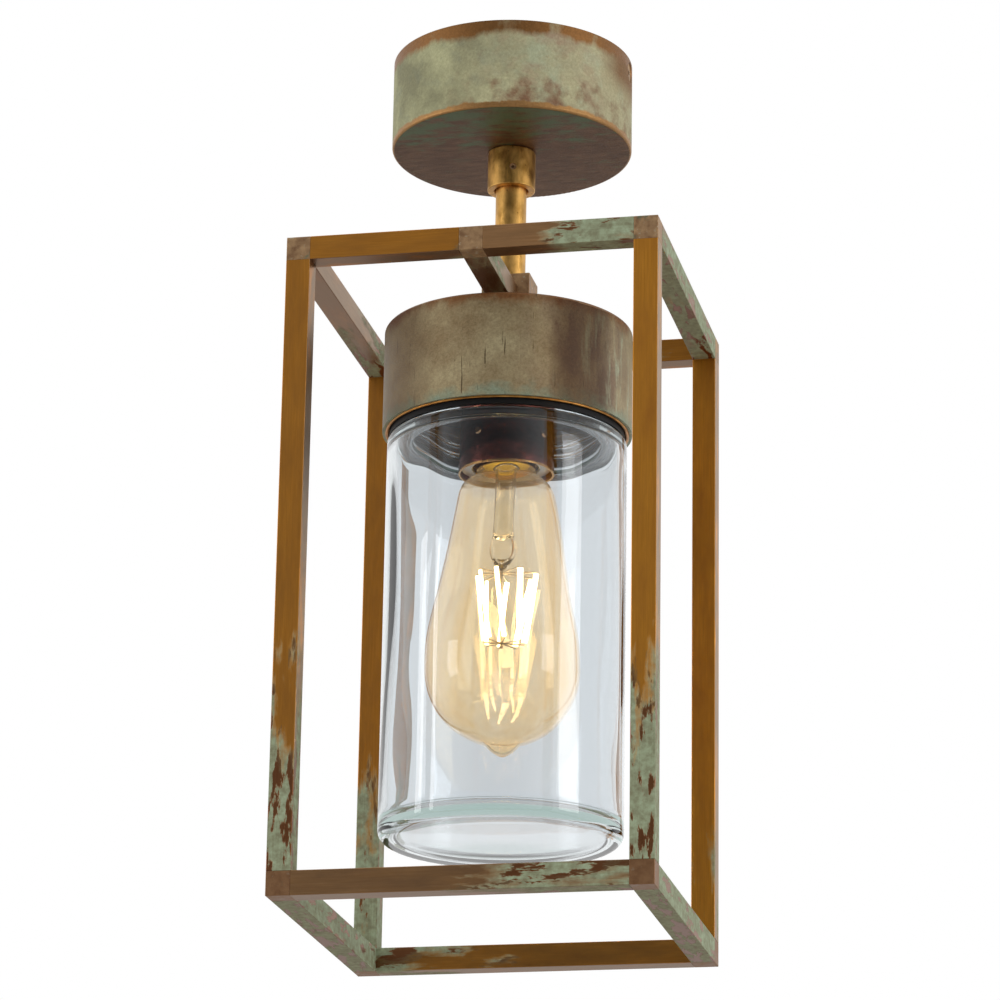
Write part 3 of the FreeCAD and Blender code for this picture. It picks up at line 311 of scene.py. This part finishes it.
# ---- The collar and the stem ----
# Turned brass bar and drawn brass tube, left golden and only lightly stained: mottled
# darker patches, brown specks and a faint pull of the wire brush along the tube.
material, tree, shader, place = bare_material("stained_golden_brass")
mottle = patches(tree, place, 5, 0.34, 0.66, draw=(1, 1, 0.55), shift=0.4)
colour = washed(tree, "#a67b3c", "#e2b266", mottle)
colour = washed(tree, colour, "#f0bb68",
                patches(tree, place, 3.2, 0.55, 0.72, draw=(1, 1, 0.3), shift=1.9))
specks = patches(tree, place, 2.2, 0.64, 0.7, shift=0.77)
colour = washed(tree, colour, "#6b4a22", specks)
pulled = patches(tree, place, 0.7, 0.3, 0.7, draw=(1, 1, 0.05), shift=0.1)
tree.links.new(colour, shader.inputs["Base Color"])
shader.inputs["Metallic"].default_value = 1.0
vary(tree, shader, "Roughness", mottle, 0.3, 0.5)
relief(tree, shader, pulled, 0.02)
dress(material, "stem_collar", "stem_tube")

# ---- The square frame ----
# Drawn brass tube, 10 mm square, satin brushed along its length and browned with acid.
# The faces to the front stay golden brown. A pinkish grey is painted on the faces turned to
# the right, as painted light, and under the tube, where painted shade also darkens the
# undersides. Where water ran down, verdigris came up and flaked off again in red-brown
# islands: low on the posts and over the rails.
TUBE_BROWN, TUBE_GOLD, OXIDE_RED = "#b27836", "#de9a40", "#8a5c3c"
# the pinkish grey is painted light on the faces turned to the right, and painted shade under the tube
VERDIGRIS_DARK, VERDIGRIS_PALE, PAINTED_SIDE_GREY = "#8a8b6c", "#abb998", "#9b7f60"
# the painted shade multiplied into the undersides, and the tone of the real brush lines
PAINTED_UNDERSIDE_SHADE, BRUSH_LINES = "#dccabb", "#cdbfae"
UMBER_TONES, DULL_TONES = ("#8c6b4d", "#bb9164"), ("#a17a54", "#cfa070")
# lighter and darker copies of the tube's own tones: painted light and painted shade
PAINTED_SHADE_TONES, PAINTED_LIGHT_TONES = ("#9d6e38", "#cf9244"), ("#c98536", "#f4ab42")
DRY = -0.3  # pushes the verdigris below showing


def browned_tube(name, axis, shift, wet, wet_from=None, flaked=0.0, tones=(TUBE_BROWN, TUBE_GOLD)):
    """Acid-browned tube along an axis: `wet` is how far the verdigris took hold, from 0 to 1.

    wet_from gives the axis and the two places between which it comes up."""
    material, tree, shader, place = bare_material(name)
    drawn = [0.03 if letter == axis else 1 for letter in "XYZ"]
    soft = [0.25 if letter == axis else 1 for letter in "XYZ"]
    brushed = patches(tree, place, 0.6, 0.25, 0.75, draw=drawn, shift=shift)
    warm = patches(tree, place, 7, 0.32, 0.68, draw=soft, shift=shift + 0.5)
    colour = washed(tree, tones[0], tones[1], warm)
    # painted light and shade: faces turned to the right and faces turned down take the pinkish grey in
    # patches
    aside = along(tree, place, "X", 0.35, 0.8, source="Normal")
    below = along(tree, place, "Z", -0.35, -0.8, source="Normal")
    lit_and_shaded_faces = add_node(tree, "ShaderNodeMath", links={0: aside, 1: below}, operation="MAXIMUM").outputs[0]
    colour = washed(tree, colour, PAINTED_SIDE_GREY, lit_and_shaded_faces,
                    patches(tree, place, 6, 0.3, 0.5, draw=soft, shift=shift + 1.1))
    if wet_from:
        push = along(tree, place, *wet_from, DRY, wet - 0.5)
    else:
        push = add_node(tree, "ShaderNodeMath", {0: wet, 1: -0.5}, operation="ADD").outputs[0]
    bloom = patches(tree, place, 9, 0.46, 0.6, push, draw=soft, shift=shift + 2.3)
    tint = washed(tree, VERDIGRIS_DARK, VERDIGRIS_PALE,
                  patches(tree, place, 3, 0.35, 0.65, shift=shift + 3.1))
    mixed = add_node(tree, "ShaderNodeMixRGB", links={"Fac": bloom, "Color1": colour, "Color2": tint})
    islands = patches(tree, place, 4.5, 0.56 - flaked, 0.585 - flaked, draw=soft, shift=shift + 4.7)
    islands = overlap(tree, islands, bloom)
    colour = washed(tree, mixed.outputs["Color"], OXIDE_RED, islands)
    # painted shade darkens the undersides, and the brush lines darken the real grain
    shade = washed(tree, washed(tree, "#ffffff", PAINTED_UNDERSIDE_SHADE, below), BRUSH_LINES, brushed, warm)
    tree.links.new(shaded(tree, colour, shade), shader.inputs["Base Color"])
    crust = add_node(tree, "ShaderNodeMath", links={0: bloom, 1: islands}, operation="SUBTRACT",
                     use_clamp=True).outputs[0]
    vary(tree, shader, "Metallic", crust, 0.95, 0.1)
    vary(tree, shader, "Roughness", crust, 0.4, 0.75)
    surface = add_node(tree, "ShaderNodeMath", {1: 0.25}, {0: brushed, 2: crust}, operation="MULTIPLY_ADD")
    relief(tree, shader, surface.outputs[0], 0.06)
    return material


post_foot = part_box("post_front_left")[0].z / MM
low_third = ("Z", post_foot + 125, post_foot + 35)
# each post and rail: its pattern's shift, how wet it was, and how it differs from the rest;
# the brighter tones of the two posts on the right are painted light, and the darker tones
# of the rear bottom rail are painted shade
POSTS = {"post_front_left": (0.11, 0.68, 0.03), "post_front_right": (0.83, 0.79, 0.02, PAINTED_LIGHT_TONES),
         "post_rear_left": (1.37, 0.66, 0.0), "post_rear_right": (2.09, 0.42, 0.0, PAINTED_LIGHT_TONES)}
for name, (shift, wet, flaked, *tones) in POSTS.items():
    dress(browned_tube(f"browned_{name}", "Z", shift, wet, low_third, flaked, *tones), name)
RAILS = {
    "bottom_rail_front": ("X", 3.1, 0.6, ("X", -35, 30), UMBER_TONES),
    "bottom_rail_rear": ("X", 3.7, 0.6, ("X", 30, -60), PAINTED_SHADE_TONES),
    "bottom_rail_left": ("Y", 4.3, 0.7, None),
    "bottom_rail_right": ("Y", 4.9, 0.76, None),
    "top_rail_front_left": ("X", 5.3, 0.45, ("X", -25, -5)),
    "top_rail_front_right": ("X", 5.9, 0.68, ("X", 20, 40), DULL_TONES),
    "top_rail_rear_left": ("X", 6.1, 0.35, None),
    "top_rail_rear_right": ("X", 6.7, 0.35, None),
    "top_rail_left": ("Y", 7.3, 0.55, ("Y", -60, 40), UMBER_TONES),
    "top_rail_right": ("Y", 7.9, 0.66, None),
    "crossbar_front": ("Y", 8.3, 0.5, None, UMBER_TONES),
    "crossbar_rear": ("Y", 8.9, 0.4, None),
}
for name, (axis, shift, wet, wet_from, *tones) in RAILS.items():
    dress(browned_tube(f"browned_{name}", axis, shift, wet, wet_from, 0.02, *tones), name)

# ---- The corner cubes, tees and centre block ----
# Brass blocks that the tubes push onto. They were cast and browned apart from the tube,
# so they are a duller brown, mottled, with the joint to each tube as a fine line. The
# canopy's side screws and the collar's grub screw took the same browning.
material, tree, shader, place = bare_material("browned_cast_brass")
mottle = patches(tree, place, 4.5, 0.34, 0.66)
colour = washed(tree, "#8a6748", "#b8966e", mottle)
colour = washed(tree, colour, "#b8a98e", patches(tree, place, 2.4, 0.6, 0.68, shift=1.3))
colour = washed(tree, colour, "#72765c", patches(tree, place, 6, 0.58, 0.68, shift=2.6))
colour = washed(tree, colour, "#7a5233", along(tree, place, "Z", -300, -360, 0.0, 0.7))
tree.links.new(colour, shader.inputs["Base Color"])
shader.inputs["Metallic"].default_value = 0.7
vary(tree, shader, "Roughness", mottle, 0.42, 0.62)
relief(tree, shader, patches(tree, place, 1.2, 0.3, 0.7, shift=0.6), 0.04)
dress(material, "centre_block", "tee_front", "tee_rear", "canopy_screws", "collar_grub_screw",
      *[f"corner_{level}_{depth}_{side}" for level in ("top", "bottom")
        for depth in ("front", "rear") for side in ("left", "right")])

# ---- The lamp housing ----
# A second spun cup, waxed when its bloom had only begun: an even olive-grey satin with
# a brown top edge, a breath of turquoise along the foot, and fine upright scratches.
material, tree, shader, place = bare_material("waxed_olive_brass")
house_foot, house_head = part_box("housing_shell")[0].z / MM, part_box("housing_shell")[1].z / MM
soft = patches(tree, place, 16, 0.34, 0.66, shift=0.2)
grit = patches(tree, place, 1.2, 0.38, 0.62, shift=0.8, rough=0.78)
colour = washed(tree, "#a28d68", "#c2b38c", soft)
colour = washed(tree, colour, "#8c745c", along(tree, place, "X", 12, 30), along(tree, place, "Y", 0, -20),
                patches(tree, place, 9, 0.35, 0.6, draw=(1, 1, 0.3), shift=1.2))
runs = patches(tree, place, 7, 0.54, 0.66, draw=(1, 1, 0.16), shift=2.0)
colour = washed(tree, colour, "#bcc4a6", runs, along(tree, place, "X", 24, 44))
tide = patches(tree, place, 7, 0.42, 0.8, along(tree, place, "Z", house_foot + 10, house_foot, -0.3, 0.22),
               shift=3.0)
colour = washed(tree, colour, "#9aa890", tide)
brown_top = patches(tree, place, 10, 0.4, 0.72,
                    along(tree, place, "Z", house_head - 9, house_head - 1, -0.3, 0.2), shift=4.0)
colour = washed(tree, colour, "#94653a", brown_top)
scratch = patches(tree, place, 1.0, 0.66, 0.7, draw=(1, 1, 0.05), shift=5.5, rough=0.4)
colour = washed(tree, colour, "#66553c", scratch, patches(tree, place, 14, 0.5, 0.54, shift=6.0))
# upright bands of painted dark reflection, a little darker where the wall faces a given way:
# how each tones the brass, the way that it faces, and how nearly the wall must face that way
# at the band's soft edge and at its middle
PAINTED_REFLECTION_BANDS = {"#a39385": ((0.743, -0.669, 0), 0.93, 0.995), "#a89a8b": ((-0.9, -0.44, 0), 0.72, 0.97)}
for tone, (band_way, edge, middle) in PAINTED_REFLECTION_BANDS.items():
    facing = add_node(tree, "ShaderNodeVectorMath", {1: band_way}, {0: place.outputs["Normal"]},
                      operation="DOT_PRODUCT")
    band = add_node(tree, "ShaderNodeMapRange", {"From Min": edge, "From Max": middle},
                    {"Value": facing.outputs["Value"]}, interpolation_type="SMOOTHSTEP")
    colour = shaded(tree, colour, washed(tree, "#ffffff", tone, band.outputs[0]))
colour = shaded(tree, colour, washed(tree, "#d4d1cc", "#ffffff", grit))
tree.links.new(colour, shader.inputs["Base Color"])
shader.inputs["Metallic"].default_value = 0.55
vary(tree, shader, "Roughness", grit, 0.42, 0.56)
relief(tree, shader, grit, 0.06)
dress(material, "housing_shell")

# bright copper-gold where the threaded ring's lip was wiped bare
material, tree, shader, place = bare_material("wiped_ring_brass")
tree.links.new(washed(tree, "#a06a34", "#cf9550", patches(tree, place, 6, 0.35, 0.65)),
               shader.inputs["Base Color"])
shader.inputs["Metallic"].default_value = 1.0
shader.inputs["Roughness"].default_value = 0.32
dress(material, "thread_ring")

# ---- The gasket ----
# A flat ring cut from black rubber, squeezed between the housing's ring and the jar.
material, tree, shader, place = two_toned("gasket_rubber", "#101010", "#1b1a1a", 2,
                                          {"Roughness": 0.55, "Specular IOR Level": 0.2})
relief(tree, shader, patches(tree, place, 0.8, 0.3, 0.7), 0.03)
dress(material, "jar_gasket")

# ---- The jar ----
# Pressed soda-lime glass: a thick foot pushed up a little in the middle, and a neck with
# a raised screw thread. Its inside wall wavers, as pressed glass does, so what stands
# behind it bends into tall soft streaks, and through its foot the glass is seen as teal,
# from its own tint and from a painted teal glow.
STEPS, SAME_SPOT = 192, 0.001  # spots nearer than this become one


def bend(radius, centre, start, finish, count=8):
    """Points (radius, height) on an arc about a centre, between two angles in degrees."""
    angles = [math.radians(start + (finish - start) * i / count) for i in range(count + 1)]
    return [(centre[0] + radius * math.cos(a), centre[1] + radius * math.sin(a)) for a in angles]


def rows(radius, start, finish, count):
    """Points straight up or down a wall, between two heights and without them."""
    return [(radius, start + (finish - start) * i / count) for i in range(1, count)]


def spun(name, outline, material, body, stands_for=None, waver=None):
    """A smooth piece turned about Z from an outline of (radius, height), from axis to axis.

    waver gives how far outwards to push the wall at a radius, a height and an angle."""
    shape = bmesh.new()
    spots = [shape.verts.new(Vector((radius, 0, height)) * MM) for radius, height in outline]
    edges = [shape.edges.new(ends) for ends in zip(spots, spots[1:])]
    bmesh.ops.spin(shape, geom=spots + edges, cent=(0, 0, 0), axis=(0, 0, 1), angle=math.tau,
                   steps=STEPS, use_merge=True)
    bmesh.ops.remove_doubles(shape, verts=shape.verts, dist=SAME_SPOT * MM)
    if waver:
        for spot in shape.verts:
            radius, height = spot.co.xy.length / MM, spot.co.z / MM
            out = waver(radius, height, math.atan2(spot.co.y, spot.co.x) % math.tau)
            if out:
                spot.co.xy = spot.co.xy * (1 + out / radius)
    bmesh.ops.recalc_face_normals(shape, faces=shape.faces)
    for face in shape.faces:
        face.smooth = True
    thing = bpy.data.objects.new(name, bpy.data.meshes.new(name))
    shape.to_mesh(thing.data)
    shape.free()
    thing.data.materials.append(material)
    scene.collection.objects.link(thing)
    if stands_for:
        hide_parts(stands_for)
    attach(thing, body)


material, tree, shader, place = bare_material("pressed_soda_glass")
shader.inputs["Base Color"].default_value = linear("#e8ebee")
shader.inputs["Roughness"].default_value = 0.0
shader.inputs["IOR"].default_value = 1.52
shader.inputs["Transmission Weight"].default_value = 1.0
teal = add_node(tree, "ShaderNodeVolumeAbsorption", {"Color": linear("#bfe2d8"), "Density": 9.0})
tree.links.new(teal.outputs[0], tree.nodes["Material Output"].inputs["Volume"])
JAR_WALL, JAR_FLOOR, PUSH_UP = 3.5, 5.0, 0.5
NECK_HEIGHT, NECK_INSET, NECK_WALL, NECK_ROUND = 13.0, 9.0, 2.1, 0.7
FOOT_CORNER, INNER_CORNER, SHOULDER_CORNER = 4.0, 5.0, 2.5
THREAD_PITCH, THREAD_DEPTH, THREAD_TURNS, THREAD_START = 4.0, 1.25, 1.5, 4.0
THREAD_ROOT_HALF, THREAD_CREST_HALF, THREAD_FADE = 1.0, 0.5, 0.08
WAVER_DEPTH, WAVER_FADE, WAVERS_ROUND, WAVERS_UP = 0.65, 25.0, 2.6, 0.011
GLOW_TOP, GLOW_FULL, GLOW_DEPTH = 7.0, 4.0, 4.5
SAME_WALL = 0.001  # a point this near to a wall's radius is on that wall
jar_low, jar_high = (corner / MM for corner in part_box("glass_jar"))
jar_radius, jar_foot, neck_top = jar_high.x, jar_low.z, jar_high.z
shoulder = neck_top - NECK_HEIGHT
ceiling = shoulder - JAR_WALL
neck_radius, neck_bore = jar_radius - NECK_INSET, jar_radius - NECK_INSET - NECK_WALL
inside, jar_floor = jar_radius - JAR_WALL, jar_foot + JAR_FLOOR
inner_low, inner_high = jar_floor + INNER_CORNER, ceiling - SHOULDER_CORNER

# a painted glow: where a ray, counted by its bounces, has wandered far inside the foot, the
# glass gives off a pale teal emission that stands in for the light coming out at the edge
# of a real pane
wandered = add_node(tree, "ShaderNodeMath", {1: GLOW_DEPTH}, operation="GREATER_THAN", links={
    0: add_node(tree, "ShaderNodeLightPath").outputs["Ray Depth"]})
in_foot = overlap(tree, wandered.outputs[0],
                  along(tree, place, "Z", jar_foot + GLOW_TOP, jar_foot + GLOW_FULL))
painted_teal_glow = add_node(tree, "ShaderNodeEmission", {"Color": linear("#ccd8d5"), "Strength": 0.93})
surface = add_node(tree, "ShaderNodeMixShader", links={0: in_foot, 1: shader.outputs[0],
                                                       2: painted_teal_glow.outputs[0]})
tree.links.new(surface.outputs[0], tree.nodes["Material Output"].inputs["Surface"])


def jar_waver(radius, height, angle):
    """The uneven inside wall, and the thread that stands out from the neck."""
    if abs(radius - inside) < SAME_WALL:
        fade = min(1, (height - inner_low) / WAVER_FADE, (inner_high - height) / WAVER_FADE)
        spot = Vector((WAVERS_ROUND * math.cos(angle), WAVERS_ROUND * math.sin(angle), WAVERS_UP * height))
        return max(0, fade) * WAVER_DEPTH * noise.noise(spot)
    if abs(radius - neck_radius) > SAME_WALL:
        return 0
    rise = 0
    for turn in range(math.ceil(THREAD_TURNS)):
        wound = angle / math.tau + turn
        off = abs(height - shoulder - THREAD_START - wound * THREAD_PITCH)
        flank = (THREAD_ROOT_HALF - off) / (THREAD_ROOT_HALF - THREAD_CREST_HALF)
        rise = max(rise, min(1, flank, wound / THREAD_FADE, (THREAD_TURNS - wound) / THREAD_FADE))
    return rise * THREAD_DEPTH


dome = jar_radius - 3 * FOOT_CORNER
underside = [(dome * i / 8, jar_foot + PUSH_UP * (1 + math.cos(math.pi * i / 8)) / 2) for i in range(9)]
jar_outline = (
    underside
    + bend(FOOT_CORNER, (jar_radius - FOOT_CORNER, jar_foot + FOOT_CORNER), -90, 0)
    + rows(jar_radius, jar_foot + FOOT_CORNER, shoulder - SHOULDER_CORNER, 12)
    + bend(SHOULDER_CORNER, (jar_radius - SHOULDER_CORNER, shoulder - SHOULDER_CORNER), 0, 90)
    + bend(NECK_ROUND, (neck_radius + NECK_ROUND, shoulder + NECK_ROUND), 270, 180)
    + rows(neck_radius, shoulder + NECK_ROUND, neck_top - NECK_ROUND, 44)
    + bend(NECK_ROUND, (neck_radius - NECK_ROUND, neck_top - NECK_ROUND), 0, 90)
    + bend(NECK_ROUND, (neck_bore + NECK_ROUND, neck_top - NECK_ROUND), 90, 180)
    + bend(NECK_ROUND, (neck_bore + NECK_ROUND, ceiling + NECK_ROUND), 180, 270)
    + bend(SHOULDER_CORNER, (inside - SHOULDER_CORNER, ceiling - SHOULDER_CORNER), 90, 0)
    + rows(inside, inner_high, inner_low, 30)
    + bend(INNER_CORNER, (inside - INNER_CORNER, jar_floor + INNER_CORNER), 0, -90, 12)
    + [(inside / 2, jar_floor), (0, jar_floor)]
)
spun("pressed_jar", jar_outline, material, "jar", "glass_jar", jar_waver)

# ---- The lampholder ----
# A cup of dark coppered brass, polished, with its rolled rim rubbed through to gold.
# Four rivets hold the porcelain body that carries the screw shell and the contact.
material, tree, shader, place = bare_material("dark_coppered_brass")
rim_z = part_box("holder_cup")[0].z / MM
colour = washed(tree, "#48241a", "#9a544c", patches(tree, place, 11, 0.36, 0.64, shift=0.4))
colour = washed(tree, colour, "#c99a5c", along(tree, place, "Z", rim_z + 0.9, rim_z + 0.4))
tree.links.new(colour, shader.inputs["Base Color"])
shader.inputs["Metallic"].default_value = 1.0
shader.inputs["Roughness"].default_value = 0.2
dress(material, "holder_cup")

# rivets of polished brass, white glazed porcelain, and the thin rolled brass of the caps
rivet_brass = two_toned("polished_rivet_brass", "#a8805c", "#d2ad86", 1.5,
                        {"Metallic": 1.0, "Roughness": 0.2})
dress(rivet_brass[0], "holder_rivets")
dress(two_toned("glazed_porcelain", "#e2dfd4", "#f0ede5", 5, {"Roughness": 0.12})[0], "holder_insulator")
cap_brass = two_toned("rolled_cap_brass", "#b08a3c", "#d8b25c", 4, {"Metallic": 1.0, "Roughness": 0.25})
dress(cap_brass[0], "holder_screw_shell", "holder_contact", "lamp_cap_shell", "lamp_contact")

# black glass, fused into the end of the cap
material, tree, shader, place = bare_material("black_cap_glass")
shader.inputs["Base Color"].default_value = linear("#0e0e10")
shader.inputs["Roughness"].default_value = 0.1
dress(material, "lamp_cap_insulator")

# ---- The lamp ----
# A teardrop of blown glass, clear at its neck and filmed with amber below, where the film
# is deepest at the outline and carries a faint painted glow that stands in for the
# filaments' light. The neck shows the brass of the cap from inside, with a painted glow for
# the filaments' light on it, and the stem is a flared tube that is pinched at its foot.
CLEAR_NECK, FILM_BLEND = 5.0, 4.0
LAMP_WALL, NECK_REACH, CROWN_DROP, PIP_ANGLE = 0.8, 8.0, 85.8, 74.0
PIP_SIDE, PIP_RISE = 4.2, 2.0
LAMP_NECK = 11.4
FLANK_SHARES = [(0.56, 0.087), (0.63, 0.18), (0.825, 0.58), (0.975, 0.845)]
lamp_low, lamp_high = (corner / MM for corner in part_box("lamp_envelope"))
lamp_radius, lamp_tip, collar_z = lamp_high.x, lamp_low.z, lamp_high.z - NECK_REACH
equator = collar_z - CROWN_DROP


def curve_through(knots, start_way, end_way, count=8):
    """Points on a smooth curve through knots (radius, height), with the way at each end."""
    spots = [Vector(knot) for knot in knots]
    inner_ways = [(after - before).normalized() for before, after in zip(spots, spots[2:])]
    ways = [Vector(start_way), *inner_ways, Vector(end_way)]
    points = [tuple(spots[0])]
    for i in range(len(spots) - 1):
        reach = (spots[i + 1] - spots[i]).length / 3
        handles = spots[i] + ways[i] * reach, spots[i + 1] - ways[i + 1] * reach
        flat = [spot.to_3d() for spot in (spots[i], *handles, spots[i + 1])]
        points += [(p.x, p.y) for p in geometry.interpolate_bezier(*flat, count + 1)[1:]]
    return points


def lamp_side(wall):
    """The lamp's outline a wall's thickness inside its glass, from the neck to the equator."""
    knots = [(LAMP_NECK - wall, collar_z + 1)]
    knots += [(share * lamp_radius - wall, collar_z - drop * CROWN_DROP) for share, drop in FLANK_SHARES]
    knots.append((lamp_radius - wall, equator))
    return [(LAMP_NECK - wall, lamp_high.z)] + curve_through(knots, (0, -1), (0, -1))


material, tree, shader, place = bare_material("amber_filmed_glass")
streaky = patches(tree, place, 12, 0.35, 0.65, draw=(1, 1, 0.08), shift=0.7)
film = washed(tree, "#fffaee", "#fdf0d4", streaky)
clear = along(tree, place, "Z", collar_z - CLEAR_NECK - FILM_BLEND, collar_z - CLEAR_NECK)
tree.links.new(washed(tree, film, "#e9e8e4", clear), shader.inputs["Base Color"])
shader.inputs["Roughness"].default_value = 0.0
shader.inputs["IOR"].default_value = 1.5
shader.inputs["Transmission Weight"].default_value = 1.0
# painted light: a faint emission on the film stands in for the filaments' light on it
shader.inputs["Emission Color"].default_value = linear("#ffcf8a")
shader.inputs["Emission Strength"].default_value = 0.05
amber = add_node(tree, "ShaderNodeVolumeAbsorption", {"Color": linear("#eec07a"), "Density": 90.0})
tree.links.new(amber.outputs[0], tree.nodes["Material Output"].inputs["Volume"])
pip_start, hollow_tip = math.radians(PIP_ANGLE), lamp_tip + 2 * LAMP_WALL
pip_way = (-math.sin(pip_start), -math.cos(pip_start))
crown = bend(lamp_radius, (0, equator), 0, -PIP_ANGLE, 24)
pip = curve_through([crown[-1], (PIP_SIDE, lamp_tip + PIP_RISE), (0, lamp_tip)], pip_way, (-1, 0))
hollow = bend(lamp_radius - LAMP_WALL, (0, equator), 0, -PIP_ANGLE, 24)
pip_hollow = curve_through(
    [hollow[-1], (PIP_SIDE - LAMP_WALL, lamp_tip + PIP_RISE + LAMP_WALL), (0, hollow_tip)],
    pip_way, (-1, 0))
envelope = (pip[::-1] + crown[-2:0:-1] + lamp_side(0)[::-1] + lamp_side(LAMP_WALL)
            + hollow[1:] + pip_hollow[1:])
envelope[0], envelope[-1] = (0, lamp_tip), (0, hollow_tip)
spun("blown_envelope", envelope, material, "lamp", "lamp_envelope")

material, tree, shader, place = bare_material("clear_stem_glass")
shader.inputs["Base Color"].default_value = linear("#fbf8f0")
shader.inputs["Roughness"].default_value = 0.0
shader.inputs["Transmission Weight"].default_value = 1.0
STEM_RADIUS, STEM_GLASS, PINCH_RADIUS, PINCH_DROP = 4.6, 0.9, 5.8, 32.0
FLARE_RADIUS, FLARE_RISE = 6.2, 0.5
stem_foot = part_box("lamp_stem")[0].z / MM
pinch_z = collar_z - PINCH_DROP
stem_outside = curve_through(
    [(0, stem_foot), (PINCH_RADIUS - 2, stem_foot + 4), (PINCH_RADIUS, pinch_z - 3),
     (STEM_RADIUS, pinch_z + 3), (STEM_RADIUS, collar_z - 6), (FLARE_RADIUS, collar_z + FLARE_RISE)],
    (1, 0), (1, 0.3))
stem_inside = curve_through(
    [(FLARE_RADIUS - STEM_GLASS, collar_z + FLARE_RISE + STEM_GLASS),
     (STEM_RADIUS - STEM_GLASS, collar_z - 6), (STEM_RADIUS - STEM_GLASS, pinch_z + 5), (0, pinch_z)],
    (-1, -0.3), (-1, 0))
spun("pinched_stem", stem_outside + stem_inside, material, "lamp", "lamp_stem")

# the brass of the cap seen from inside; its emission is painted light, standing in for the filaments' light
# on it
material, tree, shader, place = two_toned(
    "brass_inside_cap", "#c89a2e", "#e6bd50", 4,
    {"Metallic": 1.0, "Roughness": 0.45, "Emission Color": linear("#c79a1e"), "Emission Strength": 0.9})
LINING_GAP, LINING_THICK = 0.2, 0.5
lining_z, lining_radius = collar_z + FLARE_RISE + 2 * STEM_GLASS, LAMP_NECK - LAMP_WALL - LINING_GAP
cap_lining = [(0, lining_z), (lining_radius, lining_z), (lining_radius, lining_z + LINING_THICK),
              (0, lining_z + LINING_THICK)]
spun("cap_lining", cap_lining, material, "lamp")

# LED sticks coated in phosphor, lit, on stars of nickel wire
material, tree, shader, place = bare_material("glowing_phosphor")
shader.inputs["Base Color"].default_value = linear("#ffe7a8")
shader.inputs["Emission Color"].default_value = linear("#ffe6b8")
shader.inputs["Emission Strength"].default_value = 12.0
dress(material, "lamp_filaments")

dress(two_toned("nickel_support_wire", "#8d857a", "#b8afa2", 1.5, {"Metallic": 1.0, "Roughness": 0.3})[0],
      "lamp_supports")
